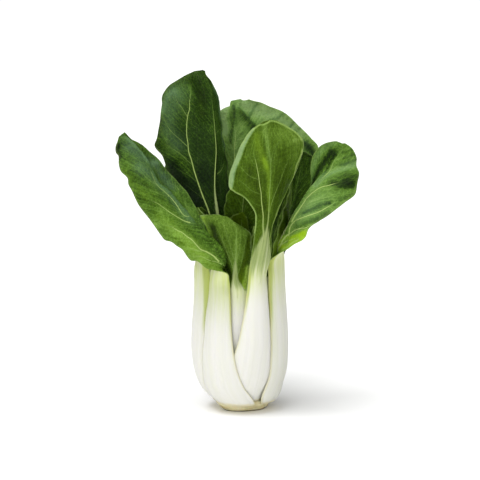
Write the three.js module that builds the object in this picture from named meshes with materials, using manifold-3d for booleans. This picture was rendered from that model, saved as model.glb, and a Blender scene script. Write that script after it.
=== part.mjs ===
// A head of bok choy standing on its cut base: fifteen separate leaves seated
// on one short stem.  Every leaf is one piece, because stalk and blade grew as
// one: a thick, spoon-shaped white stalk (petiole) that runs up into a thin
// green blade.
//
// Millimetres, +Z up.  The origin is the middle of the flat cut under the
// stem, -Y is the front of the head, +X its right.
//
// A leaf is lofted between three long curves: its left edge, its midrib and
// its right edge, as seen by someone outside the head who looks at its axis.
// In the stalk zone those curves come from a table of
//   [height, azimuth of left edge, azimuth of right edge, radius of the outer
//    face, how far the edges tuck in, thickness at the middle]
// with the azimuth in degrees from the front, positive to the right.  The
// stalks are laid outermost first, and each one keeps a gap inside the stalks
// that already stand around it, so that they nest like the layers of an onion.
// In the blade zone the three curves are given as points.
import * as THREE from 'three';
import { mergeVertices } from 'three/addons/utils/BufferGeometryUtils.js';
import Module from 'manifold-3d';

// ---- driving dimensions -------------------------------------------------
const HEAD_AXIS_X = -3.9;        // the stalk bunch stands this far beside the cut
const AXIS_BEND_HEIGHT = 24;     // height over which the axis bends to there
const STALK_GAP = 0.45;          // clearance between nested stalks
const CLEARANCE = 0.3;           // clearance kept where two leaves would meet
const STALK_EDGE = 1.5;          // thickness of a stalk's thin edge
const BLADE_THICKNESS = 1.1;     // thickness of a blade between its veins
const RIB_WIDTH = 5.5;           // half width of the midrib where a blade starts
const NEST_SLOPE = 1.2;          // how fast the room grows beside a stalk's edge
const STEM_RIM_HEIGHT = 6.1;     // height of the bare rim of the cut stem
const STEM_TOP = 27;             // tip of the stem's cone inside the head
const STEM_BEVEL = 0.8;          // worn edge round the cut
// outline of the cut stem: [azimuth, radius]
const STEM_OUTLINE = [[-180, 16.2], [-150, 16.8], [-120, 17.1], [-90, 18.8],
  [-62, 20.9], [-40, 21.2], [-22, 19.4], [0, 17.8], [24, 17.2], [48, 18.2],
  [72, 18.6], [96, 17.6], [124, 16.9], [152, 16.1], [180, 16.2]];

// grid of a leaf: rows along the stalk, rows along the blade, columns
const ROWS_STALK = 9;
const ROWS_BLADE = 10;
const COLUMNS = [-1, -0.72, -0.42, -0.16, 0, 0.16, 0.42, 0.72, 1];
const SMALL_ROWS_STALK = 7;
const SMALL_ROWS_BLADE = 5;
const SMALL_COLUMNS = [-1, -0.6, -0.2, 0.2, 0.6, 1];

const LEAVES = [
  {
    name: 'leaf_front_left',
    small: false,
    petiole: [
      [6.5, -72, 22, 25.3, 2, 6], [12, -68, 17, 29.3, 2, 8], [22, -63, 6, 33.8, 2, 9],
      [31, -60, -1, 36, 2.5, 9], [45, -57, -7, 38.2, 3, 9], [60, -53, -10, 38.6, 3.5, 9],
      [78, -50.5, -12, 38.2, 3.8, 8.5], [95, -46, -13, 37.6, 4, 7.5], [107, -44.5, -14.2, 37.3, 4, 6.5]],
    left: [
      [-25.4, -25, 120.3], [-21.5, -28, 128.6], [-24.9, -27, 138.1], [-28.8, -25, 144.7], [-35.3, -20, 156.8],
      [-39.2, -17, 163.8], [-45.7, -13, 173.7], [-57.1, -10, 185.8], [-61.7, -10, 191.2], [-68.5, -10, 200],
      [-74.6, -11, 205.2], [-81.7, -12, 210.4], [-87.8, -14, 214.4], [-93, -16, 218.9]],
    middle: [
      [-20.6, -38, 119.4], [-19.4, -39, 124.9], [-23.7, -39, 133.5], [-30, -38, 139.7], [-38.3, -36, 147.2],
      [-46.5, -34, 158.7], [-51.3, -33, 164.3], [-60.1, -31, 174.8], [-67.3, -30, 181.1], [-71.2, -28, 189.5],
      [-74.5, -26, 198.9], [-83, -22, 208.5], [-94.6, -18, 216.5]],
    right: [
      [-13.4, -39, 113.4], [-18.3, -42, 115.6], [-23.5, -44, 117.2], [-28.8, -45, 118.7], [-32.2, -46, 121.5],
      [-35.9, -47, 124.5], [-40.6, -48, 125.2], [-44.1, -49, 129.2], [-47, -50, 133.9], [-51.3, -50, 136.7],
      [-55.1, -50, 139.6], [-59.9, -50, 141], [-63.2, -50, 144.9], [-66.5, -49, 149.5], [-71.3, -48, 156.2],
      [-79.9, -46, 167.3], [-84.9, -43, 177.4], [-87.7, -41, 182.5], [-88.1, -40, 186], [-92.9, -37, 190.6],
      [-95.2, -33, 196.7], [-96.1, -30, 203.1], [-97.8, -28, 204.7], [-98.2, -26, 208.1], [-96.8, -23, 212.9],
      [-96.2, -20, 216.1]],
    bulgeLeft: [[0, 0], [1, 0], [1.3, -3], [1.7, -4], [2, 0]],
    bulgeRight: [[0, 0], [1, 0], [1.2, 3], [1.5, 4], [1.8, 3], [2, 0]],
  },
  {
    name: 'leaf_right',
    small: false,
    petiole: [
      [6.5, 36, 110, 25, 2, 6], [12, 33, 112, 30, 2, 8], [22, 39, 114, 34.6, 2, 9],
      [31, 43, 115, 37, 2.5, 9], [42, 44, 115, 38, 3, 9], [58, 44.5, 114, 38.1, 3, 9],
      [76, 44.5, 112, 37.2, 3, 8.5], [96, 44.5, 110, 36, 3.5, 7.5], [110, 44.5, 109, 35.6, 3.5, 6.5],
      [120, 45, 108, 35.3, 3.5, 5.5]],
    left: [
      [24.4, -29, 126.4], [27.4, -31, 128.7], [32.6, -33, 131.7], [36.8, -35, 135.8], [42.8, -36, 137.5],
      [46.1, -37, 141.5], [47.5, -38, 146.6], [56.5, -39, 154.2], [63.2, -39, 158.6], [73.6, -37, 166.7],
      [83.4, -32, 173.7], [85.4, -26, 182.9], [86.7, -22, 189], [85.1, -19, 194.4], [84.9, -16, 200.3],
      [82.3, -14, 206.2], [76.9, -12, 210.7]],
    middle: [
      [30.1, -15, 131.2], [34.6, -18, 144.1], [43.3, -20, 162.2], [50.1, -20, 174.4], [54.9, -19, 180.9],
      [60, -18, 186], [65.2, -16, 190.5], [68.6, -14, 197.3], [72.3, -12, 202.3], [75.2, -11, 209.8]],
    right: [
      [30.7, 6, 132.8], [33.6, 2, 147.6], [35.9, 0, 151.8], [41.9, -4, 160.2], [50, -6, 172.9],
      [51, -7, 181.6], [50.5, -8, 191.8], [52.3, -8, 200.3], [56.6, -9, 206.9], [62, -9, 210.4],
      [70.1, -10, 212]],
    bulgeLeft: [[0, 0], [1, 0], [1.3, 3], [1.6, 4], [2, 0]],
    bulgeRight: [[0, 0], [1, 0], [1.3, -3], [1.7, -4], [2, 0]],
  },
  {
    name: 'leaf_left',
    small: false,
    petiole: [
      [6.5, -124, -58, 24.3, 2, 6], [12, -126, -54, 28.8, 2, 8], [22, -127, -52, 33.6, 2, 9],
      [31, -126, -50, 36.2, 2.5, 9], [46, -124, -50, 38.3, 3, 9], [63, -120, -48, 38.3, 3, 9],
      [85, -114, -45, 36.9, 3.5, 8], [100, -110, -45, 36.4, 3.5, 7], [112, -106, -46, 36.4, 3.5, 6]],
    left: [
      [-35.6, 15, 119.4], [-35.9, 26, 129.8], [-40.2, 40, 148.1], [-46.1, 50, 163.1], [-52.7, 54, 177.3],
      [-58.1, 51, 188.2]],
    middle: [
      [-38.4, 0, 121.8], [-42.4, 6, 130.4], [-49.9, 20, 145.1], [-56.8, 34, 161], [-60.3, 44, 176],
      [-60.5, 49, 189.3]],
    right: [
      [-30.8, -20, 125], [-35.6, -14, 133.4], [-44.5, 0, 145.5], [-57.4, 12, 159.7], [-65.1, 26, 172.4],
      [-66.4, 38, 183.1], [-62.8, 46, 189.6]],
    bulgeLeft: [[0, 0], [1, 0], [1.4, -4], [2, 0]],
    bulgeRight: [[0, 0], [1, 0], [1.4, -4], [2, 0]],
  },
  {
    name: 'leaf_back',
    small: false,
    petiole: [
      [6.5, 150, 222, 23, 2, 6], [12, 148, 224, 28, 2, 8], [22, 146, 224, 33.5, 2, 9],
      [31, 146, 222, 36.5, 2.5, 9], [46, 147, 220, 38.2, 3, 9], [63, 148, 218, 38.2, 3, 9],
      [85, 150, 216, 37.5, 3.5, 8], [108, 152, 214, 37, 4, 6.5]],
    left: [
      [13.9, 36, 113.6], [20.4, 41, 127.5], [38.3, 47, 149.6], [51.3, 52, 175.1], [58.6, 54, 191.2],
      [59.8, 56, 201.6], [53.9, 60, 208.6], [44.7, 63, 217.3], [32.8, 66, 228.5], [20.6, 68, 233.7],
      [12, 68, 237.3], [3.4, 66, 239.2]],
    middle: [
      [-3.9, 41, 115.2], [-5.5, 45, 135.1], [-7.1, 48, 159.3], [-7.9, 51, 190.7], [-8.2, 53, 207.9],
      [-7.7, 56, 223.1], [-5.5, 60, 233.8], [-3.5, 64, 240.1]],
    right: [
      [-23.3, 36, 116], [-25.7, 38, 132.1], [-27.3, 43, 159.9], [-27.3, 49, 191.7], [-24.9, 54, 215.6],
      [-22.9, 56, 225.9], [-20.1, 57.5, 230.7], [-16.2, 59.5, 233], [-12.3, 61, 234.3], [-12, 62, 236.4],
      [-11.3, 63, 238.4]],
    bulgeLeft: [[0, 0], [1, 0], [1.3, -4], [1.7, -8], [2, -2]],
    bulgeRight: [[0, 0], [1, 0], [1.4, -3], [2, 0]],
  },
  {
    name: 'leaf_front_right',
    small: false,
    petiole: [
      [9, -14, 38, 22, 2, 5], [15, -14, 45, 27, 2, 7], [25, -14, 50, 33, 2, 8],
      [35, -12, 51, 36.5, 3, 8.5], [46, -9, 50, 38.8, 3.5, 9], [58, -2.5, 47.5, 39.8, 3.6, 9],
      [71, 2, 43, 39.8, 3.8, 8.5], [85, 6, 40, 39.5, 3.6, 8], [102, 9, 37, 39, 3.4, 7],
      [112, 10, 36, 38.8, 3.4, 6]],
    left: [
      [4.3, -34, 125.7], [5.2, -34, 131], [6, -35, 136.6], [6.8, -37, 145.3], [7.8, -39, 153.2],
      [7.4, -40, 160.2], [4.2, -39, 166.2], [-0.1, -38, 171.1], [-6.4, -35, 174.6], [-11.2, -33, 177.6],
      [-12.2, -30, 184.1], [-9.2, -27, 195.2], [-3.9, -25, 208], [2.9, -24, 218.5], [7.5, -24, 224.1],
      [13.5, -24, 227.9]],
    middle: [
      [13.1, -40, 125.9], [14.3, -40, 132], [15.9, -41, 142.8], [17.4, -41, 158.8], [18.4, -42, 174.9],
      [19.1, -40, 194.3], [17.2, -34, 213.3], [16.9, -28, 223.4], [19.2, -24, 229.4]],
    right: [
      [19.7, -32, 125.3], [20.1, -32, 130.7], [20.4, -32, 138.4], [20.8, -32, 145.4], [23.1, -31, 154.4],
      [26.9, -29, 164.1], [31.5, -26, 174.5], [38, -22, 187.1], [44.2, -19, 205.1], [44.5, -18, 213.8],
      [40.3, -19, 218.5], [31.8, -21, 224.4], [24.9, -23, 228.5]],
    bulgeLeft: [[0, 0], [1, 0], [1.2, -1], [1.5, -4], [1.8, -3], [2, 0]],
    bulgeRight: [[0, 0], [1, 0], [1.3, -3], [1.7, -5], [2, 0]],
  },
  {
    name: 'leaf_back_left',
    small: false,
    petiole: [
      [10, -166, -106, 20, 1, 5], [18, -168, -104, 27, 1, 7], [30, -168, -104, 31, 1, 7.5],
      [46, -167, -105, 34, 2, 7.5], [63, -166, -106, 35, 3, 7.5], [85, -165, -108, 35, 3.5, 7],
      [106, -163, -110, 34.5, 4, 6]],
    left: [
      [-18.4, 30, 117], [-15.1, 24, 130.1], [-12.2, 16, 152.8], [-11.7, 10, 171.8], [-12.8, 8, 187.4],
      [-14.9, 8, 201.4], [-16.6, 10, 215], [-18, 13, 224.2], [-19.9, 18, 237.6], [-22.8, 24, 248.5],
      [-27.1, 32, 256.5], [-31.3, 37, 263.4]],
    middle: [
      [-24.7, 25, 117.8], [-22.2, 24, 130.1], [-21.4, 23, 151.9], [-23, 24, 171], [-22.5, 25, 189.2],
      [-21.8, 26, 203.4], [-23.2, 27, 218.7], [-25.3, 30, 237.2], [-26.7, 33, 248.1], [-30.1, 36, 258.2],
      [-32.9, 38, 264.4]],
    right: [
      [-40.3, 13, 119.7], [-43.5, 16, 131.3], [-51.5, 21, 158.6], [-59.5, 25, 178.1], [-65.4, 28, 196.1],
      [-71.8, 29, 205.9], [-70, 29, 211.5], [-68.2, 30, 220.6], [-66.8, 31, 231.2], [-65.7, 32, 238.2],
      [-66, 32, 243.2], [-62.9, 34, 249.4], [-60.1, 35, 252.5], [-54.8, 36, 256], [-49.1, 37, 259.5],
      [-39.9, 38, 263.6]],
    bulgeLeft: [[0, 0], [1, 0], [1.4, -3], [1.8, -3], [2, 0]],
    bulgeRight: [[0, 0], [1, 0], [1.4, -3], [1.8, -5], [2, 0]],
  },
  {
    name: 'leaf_back_right',
    small: false,
    petiole: [
      [10, 96, 160, 20, 1, 5], [18, 96, 162, 27, 1, 7], [30, 96, 162, 32, 1, 7.5],
      [46, 97, 161, 35, 2, 7.5], [63, 98, 160, 36, 3, 7.5], [85, 99, 158, 36, 3.5, 7],
      [104, 100, 156, 35, 4, 6]],
    left: [
      [33.9, 8, 124.5], [43.4, 12, 143.8], [52.1, 16, 165.6], [56.9, 20, 185], [54.7, 25, 195.6],
      [48.5, 29, 200]],
    middle: [
      [27.1, 20, 122.6], [36, 26, 149.9], [42.3, 28, 173.7], [44.6, 29, 189.6], [44.6, 30, 199.9]],
    right: [
      [14.5, 28, 121.4], [18.6, 34, 148.9], [24.1, 36, 172.8], [31.3, 35, 189.8], [39.9, 32, 198.9]],
    bulgeLeft: [[0, 0], [1, 0], [1.4, -4], [2, 0]],
    bulgeRight: [[0, 0], [1, 0], [1.4, -4], [2, 0]],
  },
  {
    name: 'leaf_front_small',
    small: false,
    petiole: [
      [13, -26, 16, 18, 1, 5], [22, -26, 14, 24, 1, 5.5], [35, -26, 12, 28, 1, 6],
      [50, -26, 10, 30, 1.5, 6], [66, -25, 11, 31, 2, 6], [80, -23, 13, 31, 2, 5.5],
      [98, -22, 14, 31, 2.5, 5]],
    left: [
      [-13.9, -25, 107.9], [-15.4, -25, 114.1], [-20.8, -22, 123.7], [-27, -19, 134.2], [-32.4, -16, 145.4],
      [-35.2, -15, 154.9], [-32.4, -15, 155.7], [-27.7, -17, 156.1], [-20.3, -20, 156.6]],
    middle: [
      [-7.7, -32, 109.1], [-7.3, -33, 115.5], [-6.9, -34, 126.4], [-6.5, -34, 138.7], [-6.9, -32, 147.7],
      [-10.8, -27, 153.1], [-13.8, -23, 155.3]],
    right: [
      [3.4, -25, 107.1], [4.2, -26, 112.7], [4.9, -27, 120.7], [5.3, -27, 133.8], [4.7, -27, 141.9],
      [-0.2, -26, 146.8], [-6.7, -25.5, 149.8], [-10.8, -24, 153.1]],
    bulgeLeft: [[0, 0], [1, 0], [1.3, -3], [1.7, -4], [2, 0]],
    bulgeRight: [[0, 0], [1, 0], [1.3, -2], [1.7, -3], [2, 0]],
  },
  {
    name: 'inner_leaf_right',
    small: true,
    petiole: [
      [14, 60, 122, 14, 1, 4], [24, 60, 122, 22, 1, 4.5], [40, 60, 120, 27, 1, 5],
      [60, 60, 118, 28, 1.5, 5], [80, 61, 116, 28, 2, 5], [98, 62, 114, 27.5, 2, 4.5]],
    left: [
      [20.8, -15, 123.4], [24.7, -13, 139.5], [31.7, -9, 162.4], [35.7, -3, 179.6], [36.6, 3, 186.8]],
    middle: [
      [24.3, 0, 121], [30.6, 4, 141], [35.2, 6, 164.4], [36.7, 7, 187.9]],
    right: [
      [19.8, 11, 119.2], [24.6, 16, 139.3], [30.9, 17, 163.1], [34.6, 12, 181.1]],
    bulgeLeft: [[0, 0], [1, 0], [1.4, -3], [2, 0]],
    bulgeRight: [[0, 0], [1, 0], [1.4, -3], [2, 0]],
  },
  {
    name: 'inner_leaf_left',
    small: true,
    petiole: [
      [14, -108, -48, 14, 1, 4], [24, -108, -47, 21, 1, 4.5], [40, -108, -47, 26, 1, 5],
      [60, -107, -47, 27, 1.5, 5], [80, -106, -48, 27, 2, 5], [98, -104, -50, 26.5, 2, 4.5]],
    left: [
      [-26, 7, 118.3], [-26.7, 7, 132.6], [-28.2, 6, 147], [-30.5, 3, 156.1], [-33.5, -2, 159.5]],
    middle: [
      [-28.9, -5, 120.2], [-31.9, -6, 134.6], [-35, -6, 148.7], [-36.9, -5, 158], [-37.3, -5, 159.9]],
    right: [
      [-21.7, -15, 121.8], [-24, -15, 135.9], [-28.6, -13, 149.7], [-33.3, -10, 157.4], [-36.5, -7, 159.4]],
    bulgeLeft: [[0, 0], [1, 0], [1.4, -2], [2, 0]],
    bulgeRight: [[0, 0], [1, 0], [1.4, -2], [2, 0]],
  },
  {
    name: 'inner_leaf_back',
    small: true,
    petiole: [
      [16, -208, -140, 11, 1, 4], [26, -208, -140, 18, 1, 4.5], [40, -206, -141, 22, 1, 5],
      [60, -204, -142, 23, 1.5, 5], [80, -202, -144, 23, 2, 4.5], [98, -200, -146, 22, 2, 4]],
    left: [
      [7.2, 16, 119.2], [10.3, 14, 131.6], [13.4, 8, 152.3], [13.3, 4, 166.2], [9.3, 0, 178.5],
      [3.9, -2, 184.2]],
    middle: [
      [-3.9, 19, 118.7], [-3.9, 15, 135.4], [-2.3, 7, 156.4], [-0.8, 1, 172.9], [0.8, -3, 184.3]],
    right: [
      [-14.2, 14, 119.5], [-15.7, 10, 132.2], [-16.8, 2, 151.5], [-16, -2, 161.5], [-15, -3, 166.3],
      [-13.6, -4, 171.5], [-9.3, -4, 178.1], [-3.1, -4, 183.6]],
    bulgeLeft: [[0, 0], [1, 0], [1.4, -2], [2, 0]],
    bulgeRight: [[0, 0], [1, 0], [1.4, -2], [2, 0]],
  },
  {
    name: 'heart_leaf_right',
    small: true,
    petiole: [
      [18, 22, 92, 9, 0.5, 3], [30, 22, 92, 15, 1, 3.5], [50, 22, 92, 18, 1, 4],
      [70, 24, 90, 18, 1.5, 4], [88, 26, 88, 17, 1.5, 3.5]],
    left: [
      [1.5, -15, 118.7], [3.8, -14, 131.8], [6.2, -10, 141.4], [7, -7, 145.7]],
    middle: [
      [6.2, -8, 117.5], [9.3, -7, 132.3], [10.1, -5, 143.8]],
    right: [
      [7.1, 2, 115.9], [10.2, 2, 129.4], [10.9, -1, 139.3], [10.5, -3, 143.6]],
    bulgeLeft: [[0, 0], [1, 0], [1.4, -1], [2, 0]],
    bulgeRight: [[0, 0], [1, 0], [1.4, -1], [2, 0]],
  },
  {
    name: 'heart_leaf_left',
    small: true,
    petiole: [
      [20, -98, -22, 8, 0.5, 3], [32, -98, -22, 13, 1, 3.5], [50, -98, -23, 16, 1, 4],
      [70, -96, -25, 16, 1.5, 4], [86, -94, -28, 15.5, 1.5, 3.5]],
    left: [
      [-18.1, 4, 115.6], [-18.8, 3, 129.2], [-18, 0, 140], [-16.4, -3, 145.1]],
    middle: [
      [-17.1, -7, 117.4], [-18.7, -7, 130.8], [-17.9, -6, 144]],
    right: [
      [-10.1, -14, 118.5], [-11.6, -13, 130.1], [-14, -10, 139.9], [-16.3, -7, 144.1]],
    bulgeLeft: [[0, 0], [1, 0], [1.4, -1], [2, 0]],
    bulgeRight: [[0, 0], [1, 0], [1.4, -1], [2, 0]],
  },
  {
    name: 'heart_leaf_back',
    small: true,
    petiole: [
      [24, 118, 222, 7, 0.5, 3], [36, 118, 222, 11, 0.5, 3.5], [55, 120, 220, 13, 1, 3.5],
      [75, 124, 216, 13, 1, 3], [88, 128, 212, 12, 1, 3]],
    left: [
      [1.6, 9, 114.7], [3.2, 7, 128.6], [3.2, 4, 142.6], [1.6, 1, 151.7]],
    middle: [
      [-3.9, 11, 114.4], [-3.9, 9, 128.3], [-3.1, 6, 142.3], [-1.6, 2, 155.5]],
    right: [
      [-11, 8, 114.9], [-12.5, 6, 128.8], [-12.9, 2, 145.2], [-10.9, 0, 152.2], [-5.5, 0, 154.2]],
    bulgeLeft: [[0, 0], [1, 0], [1.4, -1], [2, 0]],
    bulgeRight: [[0, 0], [1, 0], [1.4, -1], [2, 0]],
  },
  {
    name: 'heart_leaf_front',
    small: true,
    petiole: [
      [26, -40, 48, 6, 0.5, 2.5], [40, -40, 48, 9, 0.5, 3], [60, -38, 46, 10, 1, 3],
      [80, -34, 42, 9.5, 1, 2.5]],
    left: [
      [-7, -8, 112.8], [-8.6, -7, 125.3], [-7.8, -5, 134.4]],
    middle: [
      [-3.1, -10, 113.1], [-3.1, -8, 125.4], [-3.9, -5, 136]],
    right: [
      [0.8, -6, 112.5], [1.6, -5, 124.9], [0, -4, 132.7]],
    bulgeLeft: [[0, 0], [1, 0], [1.4, -1], [2, 0]],
    bulgeRight: [[0, 0], [1, 0], [1.4, -1], [2, 0]],
  },
];

// ---- small helpers ------------------------------------------------------
const clamp = (x, a, b) => Math.min(b, Math.max(a, x));
const smooth = (a, b, x) => { const t = clamp((x - a) / (b - a), 0, 1); return t * t * (3 - 2 * t); };
const softMin = (a, b, k = 1.2) => 0.5 * (a + b - Math.sqrt((a - b) ** 2 + k * k));
const axisX = (z) => HEAD_AXIS_X * smooth(0, AXIS_BEND_HEIGHT, z);
const vec = (p) => new THREE.Vector3(...p);

// cubic Hermite curve through values ys at xs (numbers or arrays of numbers)
function hermite(xs, ys) {
  const n = xs.length;
  const vector = Array.isArray(ys[0]);
  const Y = vector ? ys : ys.map((y) => [y]);
  const dim = Y[0].length;
  const slope = [];
  for (let i = 0; i < n - 1; i++) slope.push(Y[i].map((v, k) => (Y[i + 1][k] - v) / (xs[i + 1] - xs[i])));
  const d = [];
  for (let i = 0; i < n; i++) {
    if (i === 0) d.push(slope[0]);
    else if (i === n - 1) d.push(slope[n - 2]);
    else {
      const h0 = xs[i] - xs[i - 1], h1 = xs[i + 1] - xs[i];
      d.push(slope[i].map((s, k) => (slope[i - 1][k] * h1 + s * h0) / (h0 + h1)));
    }
  }
  return (x) => {
    let i = 0;
    while (i < n - 2 && x >= xs[i + 1]) i++;
    const h = xs[i + 1] - xs[i], t = clamp((x - xs[i]) / h, 0, 1);
    const t2 = t * t, t3 = t2 * t;
    const out = [];
    for (let k = 0; k < dim; k++) {
      out.push((2 * t3 - 3 * t2 + 1) * Y[i][k] + (t3 - 2 * t2 + t) * h * d[i][k]
        + (3 * t2 - 2 * t3) * Y[i + 1][k] + (t3 - t2) * h * d[i + 1][k]);
    }
    return vector ? out : out[0];
  };
}

// ---- the room that is left inside the stalks laid so far -----------------
const PHI_STEPS = 180, Z_STEPS = 41, Z_TOP = 124, OPEN_RADIUS = 60;
const phiOf = (i) => i * (360 / PHI_STEPS) - 180;
const zOf = (j) => (j * Z_TOP) / (Z_STEPS - 1);
const room = Array.from({ length: PHI_STEPS }, () => new Float64Array(Z_STEPS).fill(OPEN_RADIUS));
const copyRoom = () => room.map((r) => Float64Array.from(r));
const wrap = (a) => ((a % 360) + 360) % 360;
function sampleRoom(field, phi, z) {
  const fp = wrap(phi + 180) / (360 / PHI_STEPS);
  const fz = clamp(z / (Z_TOP / (Z_STEPS - 1)), 0, Z_STEPS - 1.0001);
  const i0 = Math.floor(fp), a = fp - i0, i = i0 % PHI_STEPS, i2 = (i + 1) % PHI_STEPS;
  const j = Math.floor(fz), b = fz - j;
  return (field[i][j] * (1 - a) + field[i2][j] * a) * (1 - b)
    + (field[i][j + 1] * (1 - a) + field[i2][j + 1] * a) * b;
}

function stalkTable(leaf) {
  const p = leaf.petiole, zs = p.map((r) => r[0]);
  const col = (k) => hermite(zs, p.map((r) => r[k]));
  const f = [null, col(1), col(2), col(3), col(4), col(5)];
  return (z) => {
    const c = clamp(z, zs[0], zs[zs.length - 1]);
    return { left: f[1](c), right: f[2](c), radius: f[3](c), tuck: f[4](c), thick: f[5](c) };
  };
}

for (const leaf of LEAVES) {
  leaf.z0 = leaf.petiole[0][0];
  leaf.z1 = leaf.petiole[leaf.petiole.length - 1][0];
  leaf.table = stalkTable(leaf);
  leaf.room = copyRoom();
  for (let j = 0; j < Z_STEPS; j++) {
    const z = zOf(j);
    if (z < leaf.z0 - 3 || z > leaf.z1 + 8) continue;
    const q = leaf.table(z), mid = (q.left + q.right) / 2, half = (q.right - q.left) / 2;
    for (let i = 0; i < PHI_STEPS; i++) {
      const off = wrap(phiOf(i) - mid + 180) - 180;
      if (Math.abs(off) >= half + 40) continue;
      const t = off / half, tc = clamp(t, -1, 1);
      const outer = softMin(q.radius - q.tuck * tc * tc, sampleRoom(leaf.room, mid + tc * half, z) - STALK_GAP);
      const inner = Math.max(outer - STALK_EDGE - (q.thick - STALK_EDGE) * (1 - tc * tc), 0.4);
      const ramp = (Math.max(Math.abs(t) - 1, 0) * half * Math.PI / 180) * outer * NEST_SLOPE;
      room[i][j] = Math.min(room[i][j], inner + ramp);
    }
  }
}

// outer face of a stalk at height z, t = -1 (left edge) to 1 (right edge)
function stalkPoint(leaf, t, z) {
  const q = leaf.table(z);
  const phi = (q.left + q.right) / 2 + t * (q.right - q.left) / 2;
  const r = Math.max(softMin(q.radius - q.tuck * t * t, sampleRoom(leaf.room, phi, z) - STALK_GAP), 1.2);
  const a = THREE.MathUtils.degToRad(phi);
  return new THREE.Vector3(axisX(z) + r * Math.sin(a), -r * Math.cos(a), z);
}

// the long curves of a leaf: parameter 0..1 up the stalk, 1..2 along the blade
function longCurve(leaf, t, blade) {
  const s = [], pts = [];
  for (let k = 0; k < 9; k++) {
    const z = leaf.z0 + (k / 8) * (leaf.z1 - leaf.z0);
    s.push(k / 8);
    pts.push(stalkPoint(leaf, t, z).toArray());
  }
  let last = vec(pts[8]), sum = 0;
  const run = blade.map((p) => { const v = vec(p); sum += v.distanceTo(last); last = v; return sum; });
  blade.forEach((p, k) => { s.push(1 + run[k] / sum); pts.push(p); });
  return hermite(s, pts);
}

// outer and inner face of a leaf as grids of points
function leafGrids(leaf, rows, columns, grow) {
  const left = longCurve(leaf, -1, leaf.left);
  const middle = longCurve(leaf, 0, leaf.middle);
  const right = longCurve(leaf, 1, leaf.right);
  const bulgeL = hermite(leaf.bulgeLeft.map((r) => r[0]), leaf.bulgeLeft.map((r) => r[1]));
  const bulgeR = hermite(leaf.bulgeRight.map((r) => r[0]), leaf.bulgeRight.map((r) => r[1]));
  const ribTop = leaf.petiole[leaf.petiole.length - 1][5];
  const pointAt = (s, t) => {
    const L = vec(left(s)), M = vec(middle(s)), R = vec(right(s));
    const e = 0.01, along = vec(middle(Math.min(2, s + e))).sub(vec(middle(Math.max(0, s - e)))).normalize();
    const n = along.cross(R.clone().sub(L).normalize()).normalize();
    const q = Math.abs(t), side = t < 0 ? L : R;
    const bulge = (t < 0 ? bulgeL(s) : bulgeR(s)) * 4 * q * (1 - q);
    const blade = M.clone().lerp(side, q).addScaledVector(n, bulge);
    const w = smooth(0.8, 1, s);
    if (w >= 1) return blade;
    return stalkPoint(leaf, t, leaf.z0 + clamp(s, 0, 1) * (leaf.z1 - leaf.z0)).lerp(blade, w);
  };
  const outer = [], inner = [];
  for (const s of rows) {
    const a = [], b = [];
    const z = leaf.z0 + clamp(s, 0, 1) * (leaf.z1 - leaf.z0);
    const w = smooth(0.8, 1, s), sb = clamp(s - 1, 0, 1);
    const half = 0.5 * (vec(left(s)).distanceTo(vec(middle(s))) + vec(right(s)).distanceTo(vec(middle(s))));
    for (const t of columns) {
      const P = pointAt(s, t);
      const stalk = STALK_EDGE + (leaf.table(z).thick - STALK_EDGE) * (1 - t * t);
      const ribWidth = Math.max(RIB_WIDTH * (1 - sb) ** 1.2, 1.5);
      const blade = BLADE_THICKNESS + (ribTop - BLADE_THICKNESS) * (1 - sb) ** 1.6
        * Math.exp(-((t * half / ribWidth) ** 2));
      const h = stalk * (1 - w) + blade * w;
      const e = 0.02;
      const du = pointAt(Math.min(2, s + e), t).sub(pointAt(Math.max(0, s - e), t));
      const dv = pointAt(s, Math.min(1, t + e)).sub(pointAt(s, Math.max(-1, t - e)));
      const n = du.cross(dv).normalize();
      const radial = new THREE.Vector3(axisX(P.z) - P.x, -P.y, 0).normalize();
      const wi = smooth(0.85, 1.15, s);
      const dir = radial.multiplyScalar(1 - wi).addScaledVector(n, wi).normalize();
      a.push(P.clone().addScaledVector(dir, -grow));
      b.push(P.clone().addScaledVector(dir, h + grow));
    }
    if (grow > 0) {
      // push the two edges out sideways as well
      const last = columns.length - 1;
      for (const g of [a, b]) {
        const l = g[0].clone().sub(g[1]).normalize(), r = g[last].clone().sub(g[last - 1]).normalize();
        g[0].addScaledVector(l, grow); g[last].addScaledVector(r, grow);
      }
    }
    outer.push(a); inner.push(b);
  }
  return { outer, inner };
}

// closed shell between the two grids
function shellGeometry({ outer, inner }) {
  const rows = outer.length, cols = outer[0].length, pos = [], idx = [];
  for (const g of [outer, inner]) for (const r of g) for (const p of r) pos.push(p.x, p.y, p.z);
  const o = (i, j) => i * cols + j, n = (i, j) => rows * cols + i * cols + j;
  const quad = (a, b, c, d) => idx.push(a, b, c, a, c, d);
  for (let i = 0; i < rows - 1; i++) {
    for (let j = 0; j < cols - 1; j++) {
      quad(o(i, j), o(i, j + 1), o(i + 1, j + 1), o(i + 1, j));
      quad(n(i, j), n(i + 1, j), n(i + 1, j + 1), n(i, j + 1));
    }
    quad(o(i, 0), o(i + 1, 0), n(i + 1, 0), n(i, 0));
    quad(o(i, cols - 1), n(i, cols - 1), n(i + 1, cols - 1), o(i + 1, cols - 1));
  }
  for (let j = 0; j < cols - 1; j++) {
    quad(o(0, j), n(0, j), n(0, j + 1), o(0, j + 1));
    quad(o(rows - 1, j), o(rows - 1, j + 1), n(rows - 1, j + 1), n(rows - 1, j));
  }
  const g = new THREE.BufferGeometry();
  g.setAttribute('position', new THREE.Float32BufferAttribute(pos, 3));
  g.setIndex(idx);
  return g;
}

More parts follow.
